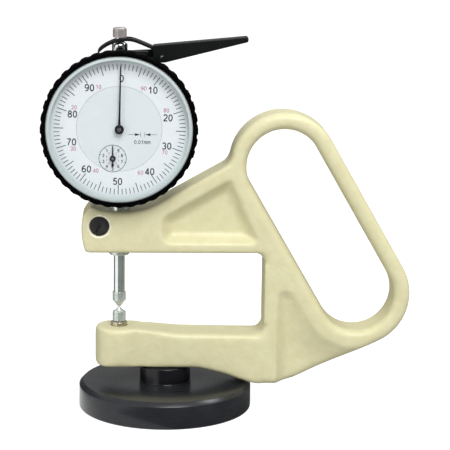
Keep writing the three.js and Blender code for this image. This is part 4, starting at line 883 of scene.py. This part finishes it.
def counterFigures(step, radius, height, weight):
    turns = [math.radians(step * i) for i in range(10)]
    return [figureMesh(str(i), height, weight, counterX + radius * math.sin(turns[i]),
                       counterZ + radius * math.cos(turns[i])) for i in range(1, 10)]


def makeDialCentrePrint():
    ring = turned(tube(*counterDial["ring"], inkFront, inkBack), (counterX, 0, counterZ), "Y", 96)
    marks = marksMesh([(*counterDial["ticks"], 36 * i) for i in range(10)], counterX, counterZ)
    parts = [ring, marks, *counterFigures(*counterDial["black"])]
    # the resolution: two arrows that point at a gap between two bars
    r = resolution
    z = dialZ - r["lineBelow"]
    (leftEnd, rightEnd), (leftBar, rightBar) = r["ends"], r["bars"]
    parts.append(inkBar(leftEnd, leftBar - 1.2, z - 0.07, z + 0.07))
    parts.append(inkBar(rightBar + 1.2, rightEnd, z - 0.07, z + 0.07))
    for bar, side in ((leftBar, -1), (rightBar, 1)):
        parts.append(inkBar(bar - 0.07, bar + 0.07, z - 0.8, z + 0.8))
        head = bar + side * 2.1
        parts.append(slab([(bar + side * 0.15, z), (head, z + 0.55), (head, z - 0.55)], inkFront, inkBack))
    parts.append(figureMesh(r["text"], r["height"], r["weight"], r["textX"], dialZ - r["textBelow"]))
    place(toObject(joined(*parts), "dialCentrePrint", inkBlack), "stand", "dial_white")
    red = joined(*counterFigures(*counterDial["red"]))
    place(toObject(red, "counterReverseNumbers", inkRed), "stand", "dial_white")


# Hands: a hub (radius, chamfer, its step) with a pin, a bore (radius, depth) behind, and a needle with its half
# widths at root, waist and tip; root and waist are heights from the centre
mainHand = {"names": ("mainPointer", "pointerPin"), "node": "pointer", "body": "pointer", "centre": (0, dialZ),
            "turn": dial["turn"], "hub": (1.78, 0.15, 0.18), "steps": 64, "bore": (0.7, 0.6), "pin": 0.72,
            "slotHalf": 0.12, "root": 1.2, "waist": 4, "widths": (0.55, 0.36, 0.22), "thick": 0.3}
counterHand = {"names": ("counterPointer", "counterPin"), "node": "counter_hand", "body": "counter",
               "centre": (counterX, counterZ), "turn": 0, "hub": (1.15, 0.1, 0.15), "steps": 48,
               "bore": (1.0, 0.25), "pin": 0.5, "root": -2.5, "waist": 1, "widths": (0.24, 0.28, 0.17),
               "thick": 0.2, "ball": 0.53}


def makeHand(look):
    low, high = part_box(look["node"])
    back, front, tip = high.y / mm, low.y / mm, high.z / mm
    x, z = look["centre"]
    root, thick = z + look["root"], look["thick"]
    heights = (root, z + look["waist"], tip)
    left, right = ([(x + side * width, height) for width, height in zip(look["widths"], heights)] for side in (-1, 1))
    needle = slab([left[0], *right, *left[:0:-1]], back - thick, back)
    rotate(needle, math.radians(look["turn"]), "Y", (x, 0, z))
    radius, chamfer, step = look["hub"]
    hub = turned([(0, back), (radius, back), (radius, front + chamfer), (radius - step, front), (0, front)],
                 (x, 0, z), "Y", look["steps"])
    balls = [deepRod(look["ball"], x, root, back - thick, back, 32)] if "ball" in look else []
    hand = mergeSolids(look["names"][0], handBlack, hub, needle, *balls)
    bore, depth = look["bore"]
    carve(hand, [deepRod(bore, x, z, back + 1, back - depth, 32)])
    place(smoothShade(hand), look["body"], "hand_black", look["node"])
    radius, pinFront, pinBack = look["pin"], front - 0.02, front + 0.05
    pin = turned([(0, pinFront), (radius, pinFront), (radius, pinBack), (0, pinBack)], (x, 0, z), "Y", 32)
    pin = toObject(pin, look["names"][1], steel)
    if "slotHalf" in look:
        half = look["slotHalf"]
        carve(pin, [block((-half, front - 0.3, z - 1), (half, front + 0.02, z + 1))])
    place(smoothShade(pin), look["body"], "steel")


# Lifting lever on its bracket: a paddle, and a bent strap with a tine either side of the neck, under the cap
lever = {"half": 3.6, "length": 33.2, "pinBore": 0.8, "rounding": 0.75, "gapHalf": 1.95, "gapEnd": 4.67,
         "pin": [(0, -3.85), (0.3, -3.85), (0.6, -3.7), (0.65, -3.5), (0.65, 5.0), (0, 5.0)],
         "over": [(-8.39, 140.95), (-7.8, 141.85), (-6.69, 142.8), (-5.53, 143.55), (-4.36, 144.18),
                  (-3.33, 144.66), (-2.3, 145.1), (-1.42, 145.42), (-0.65, 145.62), (0, 145.75), (1, 145.85),
                  (2, 145.91), (3, 145.94), (4, 145.9), (5, 145.76), (6.1, 145.45), (8.1, 144.71),
                  (10.54, 143.73), (12.88, 142.67)],
         "under": [(12.88, 141.5), (10.54, 142.45), (8.1, 143.45), (6.1, 144.2), (5, 144.52), (4, 144.67),
                   (3, 144.73), (2, 144.72), (1, 144.65), (0, 144.52), (-1.21, 144.22), (-2.0, 143.95),
                   (-2.88, 143.58), (-3.86, 143.16), (-4.91, 142.6), (-6.01, 141.87), (-7.15, 140.96),
                   (-8.29, 139.86)]}


def makeLever():
    half, end = lever["half"], pinX + lever["length"]
    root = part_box("lever_fork")[1].x / mm - 0.05
    paddle = slab([(root, pinZ - 1.9, 0.8), (14.6, pinZ - 2.3, 1.4), (17.6, pinZ - 2.05, 1.4),
                   (end - 0.15, pinZ + 6.0, 0.8), (end - 0.15, pinZ + 7.9, 0.5), (root, pinZ + 4.35, 0.3)],
                  -half, half)
    softenEdges(paddle, lever["rounding"], 4, 40)
    piece = toObject(paddle, "leverPaddle", leverBlack)
    carve(piece, [deepRod(lever["pinBore"], pinX, pinZ, -6, 6)])
    place(smoothShade(piece, 30), "lever", "black_plastic", "lever_paddle")
    pin = turned(lever["pin"], (pinX, 0, pinZ), "Y", 40, 0.05)
    place(toObject(pin, "leverPin", pinSteel), "stand", "chrome", "lever_pin")
    strap = slab([*lever["over"], *lever["under"]], -half, half)
    softenEdges(strap, 0.2, 2, 60)
    piece = toObject(strap, "leverFork", leverBlack)
    carve(piece, [block((-12, -lever["gapHalf"], 136), (lever["gapEnd"], lever["gapHalf"], 150))])
    place(smoothShade(piece, 50), "lever", "black_plastic", "lever_fork")


print("base and contacts")
makeBase()
makeClampScrew()
makeContacts()
makeLiftCap()
print("case and dial")
makeCase()
makeBackCover()
makeBezel()
makeCrystal()
makeDial()
makeDialCentrePrint()
makeHand(mainHand)
makeHand(counterHand)
print("lever")
makeLever()


# CAD nodes that stay in view or inside take their finish here; the others are steel
brassNodes = ["lower_bush", "rear_plate", "front_plate", "centre_bridge", "counter_gear", "hairspring_wheel",
              "guide_plate", *(f"plate_pillar_{i}" for i in range(1, 5))]
nodeFinishes = {**dict.fromkeys(brassNodes, brass), "base_screw": screwBlack, "lever_bracket": leverBlack,
                "spindle": chrome}


def dressNodes():
    for name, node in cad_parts.items():
        if node.hide_render:
            continue
        node.data.materials.clear()
        node.data.materials.append(nodeFinishes.get(name, steel))
        node.data.polygons.foreach_set("use_smooth", [True] * len(node.data.polygons))
        weld = node.modifiers.new("weld", "WELD")
        weld.merge_threshold = 0.000002
        split = node.modifiers.new("edges", "EDGE_SPLIT")
        split.split_angle = math.radians(33)


print("CAD nodes")
dressNodes()


# Camera, floor and light
def seenDirectly(finish):
    # 1 for rays that show the backdrop: straight, mirrored or through glass
    rays = addNode(finish, "ShaderNodeLightPath").outputs
    last = rays["Is Camera Ray"]
    for kind in ("Is Glossy Ray", "Is Transmission Ray"):
        last = addNode(finish, "ShaderNodeMath", {0: last, 1: rays[kind]}, operation="MAXIMUM").outputs["Value"]
    return last


stage = {"floor": 12.0, "floorColour": 0.45, "floorGlow": 0.84, "worldLight": 0.5, "cardRadius": 1.9,
         "cardTop": 1.25, "cardShade": (0.11, 0.27), "openFrom": 176, "openTo": 242}
# lamps are (place, size, power)
lamps = {"key": ((0.22, -0.82, 1.0), 0.6, 11.0), "fill": ((-0.85, -0.9, 0.45), 0.5, 2.6),
         "top": ((0.68, 0.04, 0.92), 0.25, 2.6), "back": ((0.0, 0.9, 0.5), 0.8, 0.5)}
view = {"place": (6.69, -668.06, 208.55), "pitch": 11.464, "yaw": 2.967, "roll": 0.84, "lens": 139.42}


def cardPaint():
    # grey that comes and goes round the card, as the surroundings of a studio do
    paint = newFinish("cardGrey", (0.2, 0.2, 0.2), 0.9)
    parts = addNode(paint, "ShaderNodeSeparateXYZ", {"Vector": objectPoint(paint)}).outputs
    angle = addNode(paint, "ShaderNodeMath", {0: parts["Y"], 1: parts["X"]}, operation="ARCTAN2")
    noise = addNode(paint, "ShaderNodeTexNoise", {"Scale": 1.6, "Detail": 2.0, "W": angle.outputs["Value"]},
                    noise_dimensions="1D")
    dark, light = stage["cardShade"]
    blendColours(paint, noise.outputs["Fac"], (dark, dark * 1.03, dark * 1.03), (light, light * 1.03, light * 1.02))
    return paint


def stageObject(bm, name, paint):
    # stage pieces are drawn in metres
    piece = newObject(name, bpy.data.meshes.new(name))
    bm.to_mesh(piece.data)
    bm.free()
    piece.data.materials.append(paint)
    return piece


def makeFloor():
    bm = bmesh.new()
    bmesh.ops.create_grid(bm, x_segments=1, y_segments=1, size=stage["floor"])
    paint = newFinish("floorPaint", (stage["floorColour"],) * 3, 0.7, gloss=0.1)
    shader = shaderOf(paint)
    shader.inputs["Emission Color"].default_value = (1, 1, 1, 1)
    glow = addNode(paint, "ShaderNodeMath", {0: seenDirectly(paint), 1: stage["floorGlow"]}, operation="MULTIPLY")
    join(paint, glow.outputs["Value"], shader.inputs["Emission Strength"])
    floor = stageObject(bm, "floor", paint)


def makeCard():
    # a grey card on the floor and round about that only shows in reflections, open to the left
    bm = bmesh.new()
    radius, top = stage["cardRadius"], stage["cardTop"]
    verts = [bm.verts.new(point) for point in ((0.04, 0, 0.0004), (radius, 0, 0.0004), (radius, 0, top))]
    edges = [bm.edges.new(verts[:2]), bm.edges.new(verts[1:])]
    sweep = 360 - stage["openTo"] + stage["openFrom"]
    bmesh.ops.spin(bm, geom=verts + edges, cent=(0, 0, 0), axis=(0, 0, 1), angle=math.radians(sweep), steps=64)
    rotate(bm, math.radians(stage["openTo"]), "Z")
    card = stageObject(bm, "frontCard", cardPaint())
    card.visible_camera = card.visible_diffuse = card.visible_shadow = card.visible_transmission = False


def makeLights():
    world = bpy.data.worlds.new("studio")
    scene.world = world
    world.use_nodes = True
    background = world.node_tree.nodes["Background"]
    background.inputs["Color"].default_value = (1, 1, 1, 1)
    level = addNode(world, "ShaderNodeMapRange", {"To Min": stage["worldLight"], "To Max": 1.0,
                                                  "Value": seenDirectly(world)})
    join(world, level.outputs["Result"], background.inputs["Strength"])
    target = Vector((0.04, 0, 0.075))
    for name, (where, size, power) in lamps.items():
        lamp = bpy.data.lights.new(name, "AREA")
        lamp.size = size
        lamp.energy = power
        holder = newObject(name, lamp)
        holder.location = where
        holder.rotation_euler = (target - Vector(where)).to_track_quat("-Z", "Y").to_euler()


def makeCamera():
    yaw, pitch, roll = (math.radians(view[key]) for key in ("yaw", "pitch", "roll"))
    ahead = Vector((math.sin(yaw) * math.cos(pitch), math.cos(yaw) * math.cos(pitch), -math.sin(pitch)))
    level = Vector((math.cos(yaw), -math.sin(yaw), 0))
    upright = level.cross(ahead)
    right = math.cos(roll) * level + math.sin(roll) * upright
    up = -math.sin(roll) * level + math.cos(roll) * upright
    camera = bpy.data.cameras.new("camera")
    camera.sensor_width = 36
    camera.sensor_fit = "HORIZONTAL"
    camera.lens = view["lens"]
    camera.clip_start, camera.clip_end = 0.01, 50
    holder = newObject("camera", camera)
    turn = Matrix((right, up, -ahead)).transposed().to_4x4()
    holder.matrix_world = Matrix.Translation(Vector(view["place"]) * mm) @ turn
    scene.camera = holder


print("stage")
makeFloor()
makeCard()
makeLights()
makeCamera()
scene.view_settings.view_transform = "Standard"
